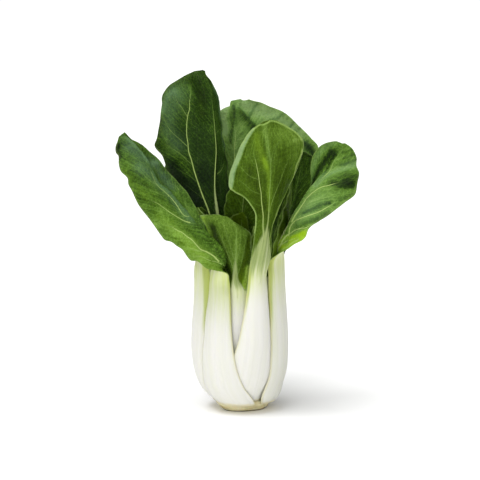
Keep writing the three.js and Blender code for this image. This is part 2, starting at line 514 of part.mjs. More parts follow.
// ---- cut stem: a low rim, and inside the head a cone between the stalks ---
function stemGeometry() {
  const outline = hermite(STEM_OUTLINE.map((r) => r[0]), STEM_OUTLINE.map((r) => r[1]));
  const levels = [0, STEM_BEVEL, 3.5, STEM_RIM_HEIGHT, STEM_RIM_HEIGHT + 0.6, 10, 14, 18, 22, STEM_TOP];
  const N = 36, rings = [];
  for (const z of levels) {
    const ring = [];
    for (let i = 0; i < N; i++) {
      const phi = -180 + (360 * i) / N, a = THREE.MathUtils.degToRad(phi);
      let r = outline(phi);
      if (z === 0) r -= STEM_BEVEL;
      if (z > STEM_RIM_HEIGHT) {
        let least = OPEN_RADIUS;
        for (let d = -10; d <= 10; d += 5) least = Math.min(least, sampleRoom(room, phi + d, z), sampleRoom(room, phi + d, z - 3));
        r = clamp(Math.min(least - 0.8, 15.5 * (1 - (z - 6) / (STEM_TOP + 2 - 6))), 1, r);
      }
      ring.push(new THREE.Vector3(axisX(z) + r * Math.sin(a), -r * Math.cos(a), z));
    }
    rings.push(ring);
  }
  const pos = [], idx = [];
  for (const r of rings) for (const p of r) pos.push(p.x, p.y, p.z);
  const bottom = pos.length / 3; pos.push(0, 0, 0);
  const top = bottom + 1; pos.push(axisX(STEM_TOP), 0, STEM_TOP + 0.5);
  for (let k = 0; k < rings.length - 1; k++) {
    for (let i = 0; i < N; i++) {
      const a = k * N + i, b = k * N + ((i + 1) % N), c = b + N, d = a + N;
      idx.push(a, b, c, a, c, d);
    }
  }
  const t0 = (rings.length - 1) * N;
  for (let i = 0; i < N; i++) {
    idx.push(bottom, (i + 1) % N, i);
    idx.push(top, t0 + i, t0 + ((i + 1) % N));
  }
  const g = new THREE.BufferGeometry();
  g.setAttribute('position', new THREE.Float32BufferAttribute(pos, 3));
  g.setIndex(idx);
  return g;
}

// ---- solids, trimmed where a neighbour already stands ---------------------
const wasm = await Module();
wasm.setup();
function toSolid(geometry) {
  const g = mergeVertices(geometry, 1e-4);
  const mesh = new wasm.Mesh({
    numProp: 3,
    vertProperties: Float32Array.from(g.attributes.position.array),
    triVerts: Uint32Array.from(g.index.array),
  });
  return new wasm.Manifold(mesh);
}
function toGeometry(solid) {
  const m = solid.getMesh();
  const pos = new Float32Array(m.numVert * 3);
  for (let i = 0; i < m.numVert; i++) for (let k = 0; k < 3; k++) pos[3 * i + k] = m.vertProperties[i * m.numProp + k];
  const g = new THREE.BufferGeometry();
  g.setAttribute('position', new THREE.BufferAttribute(pos, 3));
  g.setIndex(new THREE.BufferAttribute(Uint32Array.from(m.triVerts), 1));
  g.computeVertexNormals();
  return g;
}
function largest(solid) {
  const parts = solid.decompose();
  return parts.reduce((a, b) => (b.volume() > a.volume() ? b : a), parts[0]);
}
function boxesMeet(a, b) {
  const A = a.boundingBox(), B = b.boundingBox();
  return [0, 1, 2].every((k) => A.min[k] < B.max[k] && B.min[k] < A.max[k]);
}
const span = (n, a, b, skipFirst) => Array.from({ length: n }, (_, k) => a + ((b - a) * k) / (n - 1)).slice(skipFirst ? 1 : 0);

const bokChoy = new THREE.Group();
bokChoy.name = 'bok_choy';
const standing = [];
for (const leaf of LEAVES) {
  const rows = leaf.small
    ? [...span(SMALL_ROWS_STALK, 0, 1), ...span(SMALL_ROWS_BLADE, 1, 2, true)]
    : [...span(ROWS_STALK, 0, 1), ...span(ROWS_BLADE, 1, 2, true)];
  const columns = leaf.small ? SMALL_COLUMNS : COLUMNS;
  let solid = toSolid(shellGeometry(leafGrids(leaf, rows, columns, 0)));
  for (const other of standing) {
    if (!boxesMeet(solid, other.grown)) continue;
    const shared = solid.intersect(other.grown);
    if (shared.isEmpty() || shared.volume() < 1e-6) continue;
    solid = largest(solid.subtract(other.grown));
  }
  const grown = toSolid(shellGeometry(leafGrids(leaf, rows, columns, CLEARANCE)));
  standing.push({ leaf, solid, grown });
}
let stem = toSolid(stemGeometry());
for (const other of standing) {
  if (!boxesMeet(stem, other.grown)) continue;
  const shared = stem.intersect(other.grown);
  if (shared.isEmpty() || shared.volume() < 1e-6) continue;
  stem = largest(stem.subtract(other.grown));
}

function addPiece(name, solid, color, roughness) {
  const mesh = new THREE.Mesh(toGeometry(solid), new THREE.MeshStandardMaterial({ color, roughness, metalness: 0 }));
  mesh.name = name;
  bokChoy.add(mesh);
}
addPiece('stem_base', stem, 0xdcd6b8, 0.7);
for (const { leaf, solid } of standing) addPiece(leaf.name, solid, leaf.small ? 0x6f9a3c : 0x4f7d2e, 0.45);

export default bokChoy;
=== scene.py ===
"""Looks of a head of bok choy: fifteen leaves on a cut stem.

Every leaf is rebuilt here at full detail from the same long curves and stalk
rows as its CAD solid: a closed sheet with puckered lamina, waved margin and
raised veins that are geometry, and a stalk with long soft ribs.  Millimetres
until the mesh is made, then metres.
"""
import math

import bpy
import numpy as np
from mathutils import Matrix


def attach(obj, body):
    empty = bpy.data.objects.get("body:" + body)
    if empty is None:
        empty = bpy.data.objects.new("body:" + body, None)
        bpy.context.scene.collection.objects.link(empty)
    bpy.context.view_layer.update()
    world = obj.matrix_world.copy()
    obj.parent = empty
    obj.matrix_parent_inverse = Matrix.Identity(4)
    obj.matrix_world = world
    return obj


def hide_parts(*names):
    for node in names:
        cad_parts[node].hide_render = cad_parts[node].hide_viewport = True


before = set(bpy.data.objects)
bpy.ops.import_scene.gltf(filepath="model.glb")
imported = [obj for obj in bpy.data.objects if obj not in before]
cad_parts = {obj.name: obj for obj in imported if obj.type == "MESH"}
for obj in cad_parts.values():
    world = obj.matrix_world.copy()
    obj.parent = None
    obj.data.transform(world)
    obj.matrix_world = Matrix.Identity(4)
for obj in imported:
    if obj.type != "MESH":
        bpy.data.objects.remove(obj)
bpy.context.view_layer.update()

# ---- the head, as in the CAD (mm) ---------------------------------------
HEAD_AXIS_X = -3.9
AXIS_BEND_HEIGHT = 24.0
STALK_GAP = 0.45
STALK_EDGE = 1.5
BLADE_THICKNESS = 1.1
RIB_WIDTH = 5.5
NEST_SLOPE = 1.2
STEM_RIM_HEIGHT = 6.1
STEM_TOP = 27.0
STEM_OUTLINE = [[-180, 16.2], [-150, 16.8], [-120, 17.1], [-90, 18.8],
                [-62, 20.9], [-40, 21.2], [-22, 19.4], [0, 17.8], [24, 17.2], [48, 18.2],
                [72, 18.6], [96, 17.6], [124, 16.9], [152, 16.1], [180, 16.2]]

# stalk rows: height, azimuth of left and right edge, radius, tuck, thickness
LEAVES = [
 dict(
  name='leaf_front_left',
  petiole=[
      [6.5, -72, 22, 25.3, 2, 6], [12, -68, 17, 29.3, 2, 8], [22, -63, 6, 33.8, 2, 9],
      [31, -60, -1, 36, 2.5, 9], [45, -57, -7, 38.2, 3, 9], [60, -53, -10, 38.6, 3.5, 9],
      [78, -50.5, -12, 38.2, 3.8, 8.5], [95, -46, -13, 37.6, 4, 7.5], [107, -44.5, -14.2, 37.3, 4, 6.5]],
  left=[
      [-25.4, -25, 120.3], [-21.5, -28, 128.6], [-24.9, -27, 138.1], [-28.8, -25, 144.7], [-35.3, -20, 156.8],
      [-39.2, -17, 163.8], [-45.7, -13, 173.7], [-57.1, -10, 185.8], [-61.7, -10, 191.2], [-68.5, -10, 200],
      [-74.6, -11, 205.2], [-81.7, -12, 210.4], [-87.8, -14, 214.4], [-93, -16, 218.9]],
  middle=[
      [-20.6, -38, 119.4], [-19.4, -39, 124.9], [-23.7, -39, 133.5], [-30, -38, 139.7], [-38.3, -36, 147.2],
      [-46.5, -34, 158.7], [-51.3, -33, 164.3], [-60.1, -31, 174.8], [-67.3, -30, 181.1], [-71.2, -28, 189.5],
      [-74.5, -26, 198.9], [-83, -22, 208.5], [-94.6, -18, 216.5]],
  right=[
      [-13.4, -39, 113.4], [-18.3, -42, 115.6], [-23.5, -44, 117.2], [-28.8, -45, 118.7], [-32.2, -46, 121.5],
      [-35.9, -47, 124.5], [-40.6, -48, 125.2], [-44.1, -49, 129.2], [-47, -50, 133.9], [-51.3, -50, 136.7],
      [-55.1, -50, 139.6], [-59.9, -50, 141], [-63.2, -50, 144.9], [-66.5, -49, 149.5], [-71.3, -48, 156.2],
      [-79.9, -46, 167.3], [-84.9, -43, 177.4], [-87.7, -41, 182.5], [-88.1, -40, 186], [-92.9, -37, 190.6],
      [-95.2, -33, 196.7], [-96.1, -30, 203.1], [-97.8, -28, 204.7], [-98.2, -26, 208.1], [-96.8, -23, 212.9],
      [-96.2, -20, 216.1]],
  bulgeLeft=[[0, 0], [1, 0], [1.3, -3], [1.7, -4], [2, 0]],
  bulgeRight=[[0, 0], [1, 0], [1.2, 3], [1.5, 4], [1.8, 3], [2, 0]],
 ),
 dict(
  name='leaf_right',
  petiole=[
      [6.5, 36, 110, 25, 2, 6], [12, 33, 112, 30, 2, 8], [22, 39, 114, 34.6, 2, 9],
      [31, 43, 115, 37, 2.5, 9], [42, 44, 115, 38, 3, 9], [58, 44.5, 114, 38.1, 3, 9],
      [76, 44.5, 112, 37.2, 3, 8.5], [96, 44.5, 110, 36, 3.5, 7.5], [110, 44.5, 109, 35.6, 3.5, 6.5],
      [120, 45, 108, 35.3, 3.5, 5.5]],
  left=[
      [24.4, -29, 126.4], [27.4, -31, 128.7], [32.6, -33, 131.7], [36.8, -35, 135.8], [42.8, -36, 137.5],
      [46.1, -37, 141.5], [47.5, -38, 146.6], [56.5, -39, 154.2], [63.2, -39, 158.6], [73.6, -37, 166.7],
      [83.4, -32, 173.7], [85.4, -26, 182.9], [86.7, -22, 189], [85.1, -19, 194.4], [84.9, -16, 200.3],
      [82.3, -14, 206.2], [76.9, -12, 210.7]],
  middle=[
      [30.1, -15, 131.2], [34.6, -18, 144.1], [43.3, -20, 162.2], [50.1, -20, 174.4], [54.9, -19, 180.9],
      [60, -18, 186], [65.2, -16, 190.5], [68.6, -14, 197.3], [72.3, -12, 202.3], [75.2, -11, 209.8]],
  right=[
      [30.7, 6, 132.8], [33.6, 2, 147.6], [35.9, 0, 151.8], [41.9, -4, 160.2], [50, -6, 172.9],
      [51, -7, 181.6], [50.5, -8, 191.8], [52.3, -8, 200.3], [56.6, -9, 206.9], [62, -9, 210.4],
      [70.1, -10, 212]],
  bulgeLeft=[[0, 0], [1, 0], [1.3, 3], [1.6, 4], [2, 0]],
  bulgeRight=[[0, 0], [1, 0], [1.3, -3], [1.7, -4], [2, 0]],
 ),
 dict(
  name='leaf_left',
  petiole=[
      [6.5, -124, -58, 24.3, 2, 6], [12, -126, -54, 28.8, 2, 8], [22, -127, -52, 33.6, 2, 9],
      [31, -126, -50, 36.2, 2.5, 9], [46, -124, -50, 38.3, 3, 9], [63, -120, -48, 38.3, 3, 9],
      [85, -114, -45, 36.9, 3.5, 8], [100, -110, -45, 36.4, 3.5, 7], [112, -106, -46, 36.4, 3.5, 6]],
  left=[
      [-35.6, 15, 119.4], [-35.9, 26, 129.8], [-40.2, 40, 148.1], [-46.1, 50, 163.1], [-52.7, 54, 177.3],
      [-58.1, 51, 188.2]],
  middle=[
      [-38.4, 0, 121.8], [-42.4, 6, 130.4], [-49.9, 20, 145.1], [-56.8, 34, 161], [-60.3, 44, 176],
      [-60.5, 49, 189.3]],
  right=[
      [-30.8, -20, 125], [-35.6, -14, 133.4], [-44.5, 0, 145.5], [-57.4, 12, 159.7], [-65.1, 26, 172.4],
      [-66.4, 38, 183.1], [-62.8, 46, 189.6]],
  bulgeLeft=[[0, 0], [1, 0], [1.4, -4], [2, 0]],
  bulgeRight=[[0, 0], [1, 0], [1.4, -4], [2, 0]],
 ),
 dict(
  name='leaf_back',
  petiole=[
      [6.5, 150, 222, 23, 2, 6], [12, 148, 224, 28, 2, 8], [22, 146, 224, 33.5, 2, 9],
      [31, 146, 222, 36.5, 2.5, 9], [46, 147, 220, 38.2, 3, 9], [63, 148, 218, 38.2, 3, 9],
      [85, 150, 216, 37.5, 3.5, 8], [108, 152, 214, 37, 4, 6.5]],
  left=[
      [13.9, 36, 113.6], [20.4, 41, 127.5], [38.3, 47, 149.6], [51.3, 52, 175.1], [58.6, 54, 191.2],
      [59.8, 56, 201.6], [53.9, 60, 208.6], [44.7, 63, 217.3], [32.8, 66, 228.5], [20.6, 68, 233.7],
      [12, 68, 237.3], [3.4, 66, 239.2]],
  middle=[
      [-3.9, 41, 115.2], [-5.5, 45, 135.1], [-7.1, 48, 159.3], [-7.9, 51, 190.7], [-8.2, 53, 207.9],
      [-7.7, 56, 223.1], [-5.5, 60, 233.8], [-3.5, 64, 240.1]],
  right=[
      [-23.3, 36, 116], [-25.7, 38, 132.1], [-27.3, 43, 159.9], [-27.3, 49, 191.7], [-24.9, 54, 215.6],
      [-22.9, 56, 225.9], [-20.1, 57.5, 230.7], [-16.2, 59.5, 233], [-12.3, 61, 234.3], [-12, 62, 236.4],
      [-11.3, 63, 238.4]],
  bulgeLeft=[[0, 0], [1, 0], [1.3, -4], [1.7, -8], [2, -2]],
  bulgeRight=[[0, 0], [1, 0], [1.4, -3], [2, 0]],
 ),
 dict(
  name='leaf_front_right',
  petiole=[
      [9, -14, 38, 22, 2, 5], [15, -14, 45, 27, 2, 7], [25, -14, 50, 33, 2, 8],
      [35, -12, 51, 36.5, 3, 8.5], [46, -9, 50, 38.8, 3.5, 9], [58, -2.5, 47.5, 39.8, 3.6, 9],
      [71, 2, 43, 39.8, 3.8, 8.5], [85, 6, 40, 39.5, 3.6, 8], [102, 9, 37, 39, 3.4, 7],
      [112, 10, 36, 38.8, 3.4, 6]],
  left=[
      [4.3, -34, 125.7], [5.2, -34, 131], [6, -35, 136.6], [6.8, -37, 145.3], [7.8, -39, 153.2],
      [7.4, -40, 160.2], [4.2, -39, 166.2], [-0.1, -38, 171.1], [-6.4, -35, 174.6], [-11.2, -33, 177.6],
      [-12.2, -30, 184.1], [-9.2, -27, 195.2], [-3.9, -25, 208], [2.9, -24, 218.5], [7.5, -24, 224.1],
      [13.5, -24, 227.9]],
  middle=[
      [13.1, -40, 125.9], [14.3, -40, 132], [15.9, -41, 142.8], [17.4, -41, 158.8], [18.4, -42, 174.9],
      [19.1, -40, 194.3], [17.2, -34, 213.3], [16.9, -28, 223.4], [19.2, -24, 229.4]],
  right=[
      [19.7, -32, 125.3], [20.1, -32, 130.7], [20.4, -32, 138.4], [20.8, -32, 145.4], [23.1, -31, 154.4],
      [26.9, -29, 164.1], [31.5, -26, 174.5], [38, -22, 187.1], [44.2, -19, 205.1], [44.5, -18, 213.8],
      [40.3, -19, 218.5], [31.8, -21, 224.4], [24.9, -23, 228.5]],
  bulgeLeft=[[0, 0], [1, 0], [1.2, -1], [1.5, -4], [1.8, -3], [2, 0]],
  bulgeRight=[[0, 0], [1, 0], [1.3, -3], [1.7, -5], [2, 0]],
 ),
 dict(
  name='leaf_back_left',
  petiole=[
      [10, -166, -106, 20, 1, 5], [18, -168, -104, 27, 1, 7], [30, -168, -104, 31, 1, 7.5],
      [46, -167, -105, 34, 2, 7.5], [63, -166, -106, 35, 3, 7.5], [85, -165, -108, 35, 3.5, 7],
      [106, -163, -110, 34.5, 4, 6]],
  left=[
      [-18.4, 30, 117], [-15.1, 24, 130.1], [-12.2, 16, 152.8], [-11.7, 10, 171.8], [-12.8, 8, 187.4],
      [-14.9, 8, 201.4], [-16.6, 10, 215], [-18, 13, 224.2], [-19.9, 18, 237.6], [-22.8, 24, 248.5],
      [-27.1, 32, 256.5], [-31.3, 37, 263.4]],
  middle=[
      [-24.7, 25, 117.8], [-22.2, 24, 130.1], [-21.4, 23, 151.9], [-23, 24, 171], [-22.5, 25, 189.2],
      [-21.8, 26, 203.4], [-23.2, 27, 218.7], [-25.3, 30, 237.2], [-26.7, 33, 248.1], [-30.1, 36, 258.2],
      [-32.9, 38, 264.4]],
  right=[
      [-40.3, 13, 119.7], [-43.5, 16, 131.3], [-51.5, 21, 158.6], [-59.5, 25, 178.1], [-65.4, 28, 196.1],
      [-71.8, 29, 205.9], [-70, 29, 211.5], [-68.2, 30, 220.6], [-66.8, 31, 231.2], [-65.7, 32, 238.2],
      [-66, 32, 243.2], [-62.9, 34, 249.4], [-60.1, 35, 252.5], [-54.8, 36, 256], [-49.1, 37, 259.5],
      [-39.9, 38, 263.6]],
  bulgeLeft=[[0, 0], [1, 0], [1.4, -3], [1.8, -3], [2, 0]],
  bulgeRight=[[0, 0], [1, 0], [1.4, -3], [1.8, -5], [2, 0]],
 ),
 dict(
  name='leaf_back_right',
  petiole=[
      [10, 96, 160, 20, 1, 5], [18, 96, 162, 27, 1, 7], [30, 96, 162, 32, 1, 7.5],
      [46, 97, 161, 35, 2, 7.5], [63, 98, 160, 36, 3, 7.5], [85, 99, 158, 36, 3.5, 7],
      [104, 100, 156, 35, 4, 6]],
  left=[
      [33.9, 8, 124.5], [43.4, 12, 143.8], [52.1, 16, 165.6], [56.9, 20, 185], [54.7, 25, 195.6],
      [48.5, 29, 200]],
  middle=[
      [27.1, 20, 122.6], [36, 26, 149.9], [42.3, 28, 173.7], [44.6, 29, 189.6], [44.6, 30, 199.9]],
  right=[
      [14.5, 28, 121.4], [18.6, 34, 148.9], [24.1, 36, 172.8], [31.3, 35, 189.8], [39.9, 32, 198.9]],
  bulgeLeft=[[0, 0], [1, 0], [1.4, -4], [2, 0]],
  bulgeRight=[[0, 0], [1, 0], [1.4, -4], [2, 0]],
 ),
 dict(
  name='leaf_front_small',
  petiole=[
      [13, -26, 16, 18, 1, 5], [22, -26, 14, 24, 1, 5.5], [35, -26, 12, 28, 1, 6],
      [50, -26, 10, 30, 1.5, 6], [66, -25, 11, 31, 2, 6], [80, -23, 13, 31, 2, 5.5],
      [98, -22, 14, 31, 2.5, 5]],
  left=[
      [-13.9, -25, 107.9], [-15.4, -25, 114.1], [-20.8, -22, 123.7], [-27, -19, 134.2], [-32.4, -16, 145.4],
      [-35.2, -15, 154.9], [-32.4, -15, 155.7], [-27.7, -17, 156.1], [-20.3, -20, 156.6]],
  middle=[
      [-7.7, -32, 109.1], [-7.3, -33, 115.5], [-6.9, -34, 126.4], [-6.5, -34, 138.7], [-6.9, -32, 147.7],
      [-10.8, -27, 153.1], [-13.8, -23, 155.3]],
  right=[
      [3.4, -25, 107.1], [4.2, -26, 112.7], [4.9, -27, 120.7], [5.3, -27, 133.8], [4.7, -27, 141.9],
      [-0.2, -26, 146.8], [-6.7, -25.5, 149.8], [-10.8, -24, 153.1]],
  bulgeLeft=[[0, 0], [1, 0], [1.3, -3], [1.7, -4], [2, 0]],
  bulgeRight=[[0, 0], [1, 0], [1.3, -2], [1.7, -3], [2, 0]],
 ),
 dict(
  name='inner_leaf_right',
  petiole=[
      [14, 60, 122, 14, 1, 4], [24, 60, 122, 22, 1, 4.5], [40, 60, 120, 27, 1, 5],
      [60, 60, 118, 28, 1.5, 5], [80, 61, 116, 28, 2, 5], [98, 62, 114, 27.5, 2, 4.5]],
  left=[
      [20.8, -15, 123.4], [24.7, -13, 139.5], [31.7, -9, 162.4], [35.7, -3, 179.6], [36.6, 3, 186.8]],
  middle=[
      [24.3, 0, 121], [30.6, 4, 141], [35.2, 6, 164.4], [36.7, 7, 187.9]],
  right=[
      [19.8, 11, 119.2], [24.6, 16, 139.3], [30.9, 17, 163.1], [34.6, 12, 181.1]],
  bulgeLeft=[[0, 0], [1, 0], [1.4, -3], [2, 0]],
  bulgeRight=[[0, 0], [1, 0], [1.4, -3], [2, 0]],
 ),
 dict(
  name='inner_leaf_left',
  petiole=[
      [14, -108, -48, 14, 1, 4], [24, -108, -47, 21, 1, 4.5], [40, -108, -47, 26, 1, 5],
      [60, -107, -47, 27, 1.5, 5], [80, -106, -48, 27, 2, 5], [98, -104, -50, 26.5, 2, 4.5]],
  left=[
      [-26, 7, 118.3], [-26.7, 7, 132.6], [-28.2, 6, 147], [-30.5, 3, 156.1], [-33.5, -2, 159.5]],
  middle=[
      [-28.9, -5, 120.2], [-31.9, -6, 134.6], [-35, -6, 148.7], [-36.9, -5, 158], [-37.3, -5, 159.9]],
  right=[
      [-21.7, -15, 121.8], [-24, -15, 135.9], [-28.6, -13, 149.7], [-33.3, -10, 157.4], [-36.5, -7, 159.4]],
  bulgeLeft=[[0, 0], [1, 0], [1.4, -2], [2, 0]],
  bulgeRight=[[0, 0], [1, 0], [1.4, -2], [2, 0]],
 ),
 dict(
  name='inner_leaf_back',
  petiole=[
      [16, -208, -140, 11, 1, 4], [26, -208, -140, 18, 1, 4.5], [40, -206, -141, 22, 1, 5],
      [60, -204, -142, 23, 1.5, 5], [80, -202, -144, 23, 2, 4.5], [98, -200, -146, 22, 2, 4]],
  left=[
      [7.2, 16, 119.2], [10.3, 14, 131.6], [13.4, 8, 152.3], [13.3, 4, 166.2], [9.3, 0, 178.5],
      [3.9, -2, 184.2]],
  middle=[
      [-3.9, 19, 118.7], [-3.9, 15, 135.4], [-2.3, 7, 156.4], [-0.8, 1, 172.9], [0.8, -3, 184.3]],
  right=[
      [-14.2, 14, 119.5], [-15.7, 10, 132.2], [-16.8, 2, 151.5], [-16, -2, 161.5], [-15, -3, 166.3],
      [-13.6, -4, 171.5], [-9.3, -4, 178.1], [-3.1, -4, 183.6]],
  bulgeLeft=[[0, 0], [1, 0], [1.4, -2], [2, 0]],
  bulgeRight=[[0, 0], [1, 0], [1.4, -2], [2, 0]],
 ),
 dict(
  name='heart_leaf_right',
  petiole=[
      [18, 22, 92, 9, 0.5, 3], [30, 22, 92, 15, 1, 3.5], [50, 22, 92, 18, 1, 4],
      [70, 24, 90, 18, 1.5, 4], [88, 26, 88, 17, 1.5, 3.5]],
  left=[
      [1.5, -15, 118.7], [3.8, -14, 131.8], [6.2, -10, 141.4], [7, -7, 145.7]],
  middle=[
      [6.2, -8, 117.5], [9.3, -7, 132.3], [10.1, -5, 143.8]],
  right=[
      [7.1, 2, 115.9], [10.2, 2, 129.4], [10.9, -1, 139.3], [10.5, -3, 143.6]],
  bulgeLeft=[[0, 0], [1, 0], [1.4, -1], [2, 0]],
  bulgeRight=[[0, 0], [1, 0], [1.4, -1], [2, 0]],
 ),
 dict(
  name='heart_leaf_left',
  petiole=[
      [20, -98, -22, 8, 0.5, 3], [32, -98, -22, 13, 1, 3.5], [50, -98, -23, 16, 1, 4],
      [70, -96, -25, 16, 1.5, 4], [86, -94, -28, 15.5, 1.5, 3.5]],
  left=[
      [-18.1, 4, 115.6], [-18.8, 3, 129.2], [-18, 0, 140], [-16.4, -3, 145.1]],
  middle=[
      [-17.1, -7, 117.4], [-18.7, -7, 130.8], [-17.9, -6, 144]],
  right=[
      [-10.1, -14, 118.5], [-11.6, -13, 130.1], [-14, -10, 139.9], [-16.3, -7, 144.1]],
  bulgeLeft=[[0, 0], [1, 0], [1.4, -1], [2, 0]],
  bulgeRight=[[0, 0], [1, 0], [1.4, -1], [2, 0]],
 ),
 dict(
  name='heart_leaf_back',
  petiole=[
      [24, 118, 222, 7, 0.5, 3], [36, 118, 222, 11, 0.5, 3.5], [55, 120, 220, 13, 1, 3.5],
      [75, 124, 216, 13, 1, 3], [88, 128, 212, 12, 1, 3]],
  left=[
      [1.6, 9, 114.7], [3.2, 7, 128.6], [3.2, 4, 142.6], [1.6, 1, 151.7]],
  middle=[
      [-3.9, 11, 114.4], [-3.9, 9, 128.3], [-3.1, 6, 142.3], [-1.6, 2, 155.5]],
  right=[
      [-11, 8, 114.9], [-12.5, 6, 128.8], [-12.9, 2, 145.2], [-10.9, 0, 152.2], [-5.5, 0, 154.2]],
  bulgeLeft=[[0, 0], [1, 0], [1.4, -1], [2, 0]],
  bulgeRight=[[0, 0], [1, 0], [1.4, -1], [2, 0]],
 ),
 dict(
  name='heart_leaf_front',
  petiole=[
      [26, -40, 48, 6, 0.5, 2.5], [40, -40, 48, 9, 0.5, 3], [60, -38, 46, 10, 1, 3],
      [80, -34, 42, 9.5, 1, 2.5]],
  left=[
      [-7, -8, 112.8], [-8.6, -7, 125.3], [-7.8, -5, 134.4]],
  middle=[
      [-3.1, -10, 113.1], [-3.1, -8, 125.4], [-3.9, -5, 136]],
  right=[
      [0.8, -6, 112.5], [1.6, -5, 124.9], [0, -4, 132.7]],
  bulgeLeft=[[0, 0], [1, 0], [1.4, -1], [2, 0]],
  bulgeRight=[[0, 0], [1, 0], [1.4, -1], [2, 0]],
 ),
]

# main veins: leaf -> [width mm, [(s, t), ...]]; s 1..2 along the blade, t -1..1
# from its left margin to its right one
VEINS = {
    'leaf_front_left': [
        (1.40, [(1.09, 0.04), (1.16, 0.53), (1.21, 0.74), (1.26, 0.80)]),
        (2.11, [(1.15, 0.41), (1.18, 0.41), (1.22, 0.48), (1.29, 0.52), (1.36, 0.58), (1.43, 0.62), (1.46, 0.73)]),
        (0.86, [(1.23, 0.46), (1.26, 0.59), (1.28, 0.73), (1.32, 0.91)]),
        (1.64, [(1.39, 0.13), (1.44, 0.27), (1.50, 0.43), (1.57, 0.59), (1.61, 0.74)]),
        (0.78, [(1.56, 0.08), (1.60, 0.33), (1.66, 0.54), (1.72, 0.76)]),
        (0.70, [(1.66, 0.12), (1.72, 0.41), (1.79, 0.60), (1.83, 0.74)]),
        (0.78, [(1.31, -0.32), (1.38, -0.42), (1.46, -0.63), (1.51, -0.77)]),
        (0.86, [(1.56, -0.84), (1.59, -0.86), (1.61, -0.81), (1.63, -0.76)]),
        (0.70, [(1.62, -0.13), (1.67, -0.49), (1.72, -0.61), (1.77, -0.60)]),
        (0.62, [(1.73, -0.12), (1.78, -0.14), (1.84, -0.14)]),
    ],
    'leaf_right': [
        (2.65, [(1.32, -0.14), (1.38, -0.14), (1.45, -0.13), (1.51, -0.12), (1.57, -0.20), (1.62, -0.29), (1.65, -0.41), (1.68, -0.51), (1.70, -0.62)]),
        (0.94, [(1.44, -0.21), (1.51, -0.38), (1.55, -0.55), (1.59, -0.69)]),
        (2.42, [(1.22, -0.26), (1.29, -0.15), (1.33, -0.26), (1.38, -0.55), (1.43, -0.70), (1.47, -0.78), (1.52, -0.84), (1.56, -0.87)]),
        (2.42, [(1.12, -0.19), (1.18, -0.17), (1.22, -0.21), (1.27, -0.38), (1.32, -0.73), (1.35, -0.95), (1.38, -1.00)]),
        (1.79, [(1.07, -0.08), (1.13, -0.19), (1.17, -0.32), (1.22, -0.66), (1.27, -0.76)]),
        (0.78, [(1.78, 0.64), (1.82, 0.57), (1.87, 0.56), (1.90, 0.66)]),
        (0.70, [(1.56, 0.10), (1.64, 0.00), (1.74, 0.62), (1.78, 0.64)]),
        (0.70, [(1.78, -0.06), (1.81, -0.26), (1.83, -0.56), (1.83, -0.81)]),
        (0.70, [(1.86, -0.04), (1.88, -0.27), (1.89, -0.57), (1.88, -0.82)]),
        (0.70, [(1.91, 0.00), (1.95, -0.22), (1.95, -0.71)]),
    ],
    'leaf_front_right': [
        (2.03, [(1.23, -0.12), (1.33, -0.46), (1.45, -0.38), (1.54, -0.27), (1.61, -0.29), (1.70, -0.39), (1.77, -0.51)]),
        (0.94, [(1.61, -0.29), (1.63, -0.51), (1.67, -0.71), (1.70, -0.84)]),
        (0.86, [(1.52, -0.29), (1.54, -0.48), (1.58, -0.61), (1.61, -0.77)]),
        (0.70, [(1.43, -0.42), (1.44, -0.74), (1.46, -0.93)]),
        (0.70, [(1.67, -0.36), (1.72, -0.52), (1.77, -0.71)]),
        (1.09, [(1.39, 0.01), (1.48, 0.15), (1.56, 0.30), (1.65, 0.44), (1.73, 0.58)]),
        (0.78, [(1.61, 0.00), (1.69, 0.06), (1.75, 0.13), (1.82, 0.24)]),
        (0.78, [(1.70, 0.00), (1.77, 0.10), (1.83, 0.34)]),
    ],
    'leaf_back_left': [
        (2.26, [(1.24, 0.18), (1.30, 0.27), (1.35, 0.34), (1.43, 0.42), (1.50, 0.49), (1.56, 0.51), (1.60, 0.50), (1.65, 0.55), (1.70, 0.56), (1.75, 0.54), (1.79, 0.50), (1.84, 0.49), (1.91, 0.61)]),
        (1.09, [(1.74, 0.55), (1.78, 0.66), (1.81, 0.74), (1.84, 0.82)]),
        (1.09, [(1.60, 0.50), (1.63, 0.65), (1.67, 0.83), (1.71, 0.93), (1.74, 0.98)]),
        (0.94, [(1.51, 0.49), (1.53, 0.59), (1.57, 0.69), (1.59, 0.76), (1.65, 0.94)]),
        (0.78, [(1.43, 0.42), (1.46, 0.62), (1.48, 0.80)]),
        (0.78, [(1.35, 0.36), (1.39, 0.59), (1.42, 0.74)]),
        (0.78, [(1.68, -0.07), (1.69, -0.34), (1.70, -0.71)]),
        (1.09, [(1.48, -0.09), (1.50, -0.33), (1.54, -0.61)]),
        (0.62, [(1.52, 0.00), (1.54, 0.13), (1.58, 0.22)]),
    ],
    'leaf_back': [
        (0.86, [(1.81, 0.00), (1.83, -0.15), (1.84, -0.29), (1.86, -0.44), (1.88, -0.61)]),
        (0.86, [(1.74, 0.00), (1.75, -0.34), (1.79, -0.64), (1.81, -0.84), (1.82, -0.98)]),
        (0.78, [(1.68, 0.00), (1.70, -0.39), (1.74, -0.74), (1.77, -0.94), (1.77, -1.00)]),
        (0.78, [(1.60, 0.00), (1.63, -0.39), (1.69, -0.76), (1.72, -0.93), (1.73, -1.00)]),
        (0.70, [(1.68, 0.00), (1.75, 0.28), (1.83, 0.53), (1.88, 0.77)]),
    ],
    'leaf_front_small': [
        (0.94, [(1.20, -0.06), (1.41, -0.28), (1.60, -0.42), (1.74, -0.55)]),
        (0.78, [(1.37, -0.04), (1.59, -0.21), (1.76, -0.30)]),
        (0.94, [(1.15, 0.06), (1.38, 0.41), (1.57, 0.60), (1.70, 0.71)]),
        (0.78, [(1.38, 0.04), (1.57, 0.26), (1.73, 0.38)]),
    ],
}

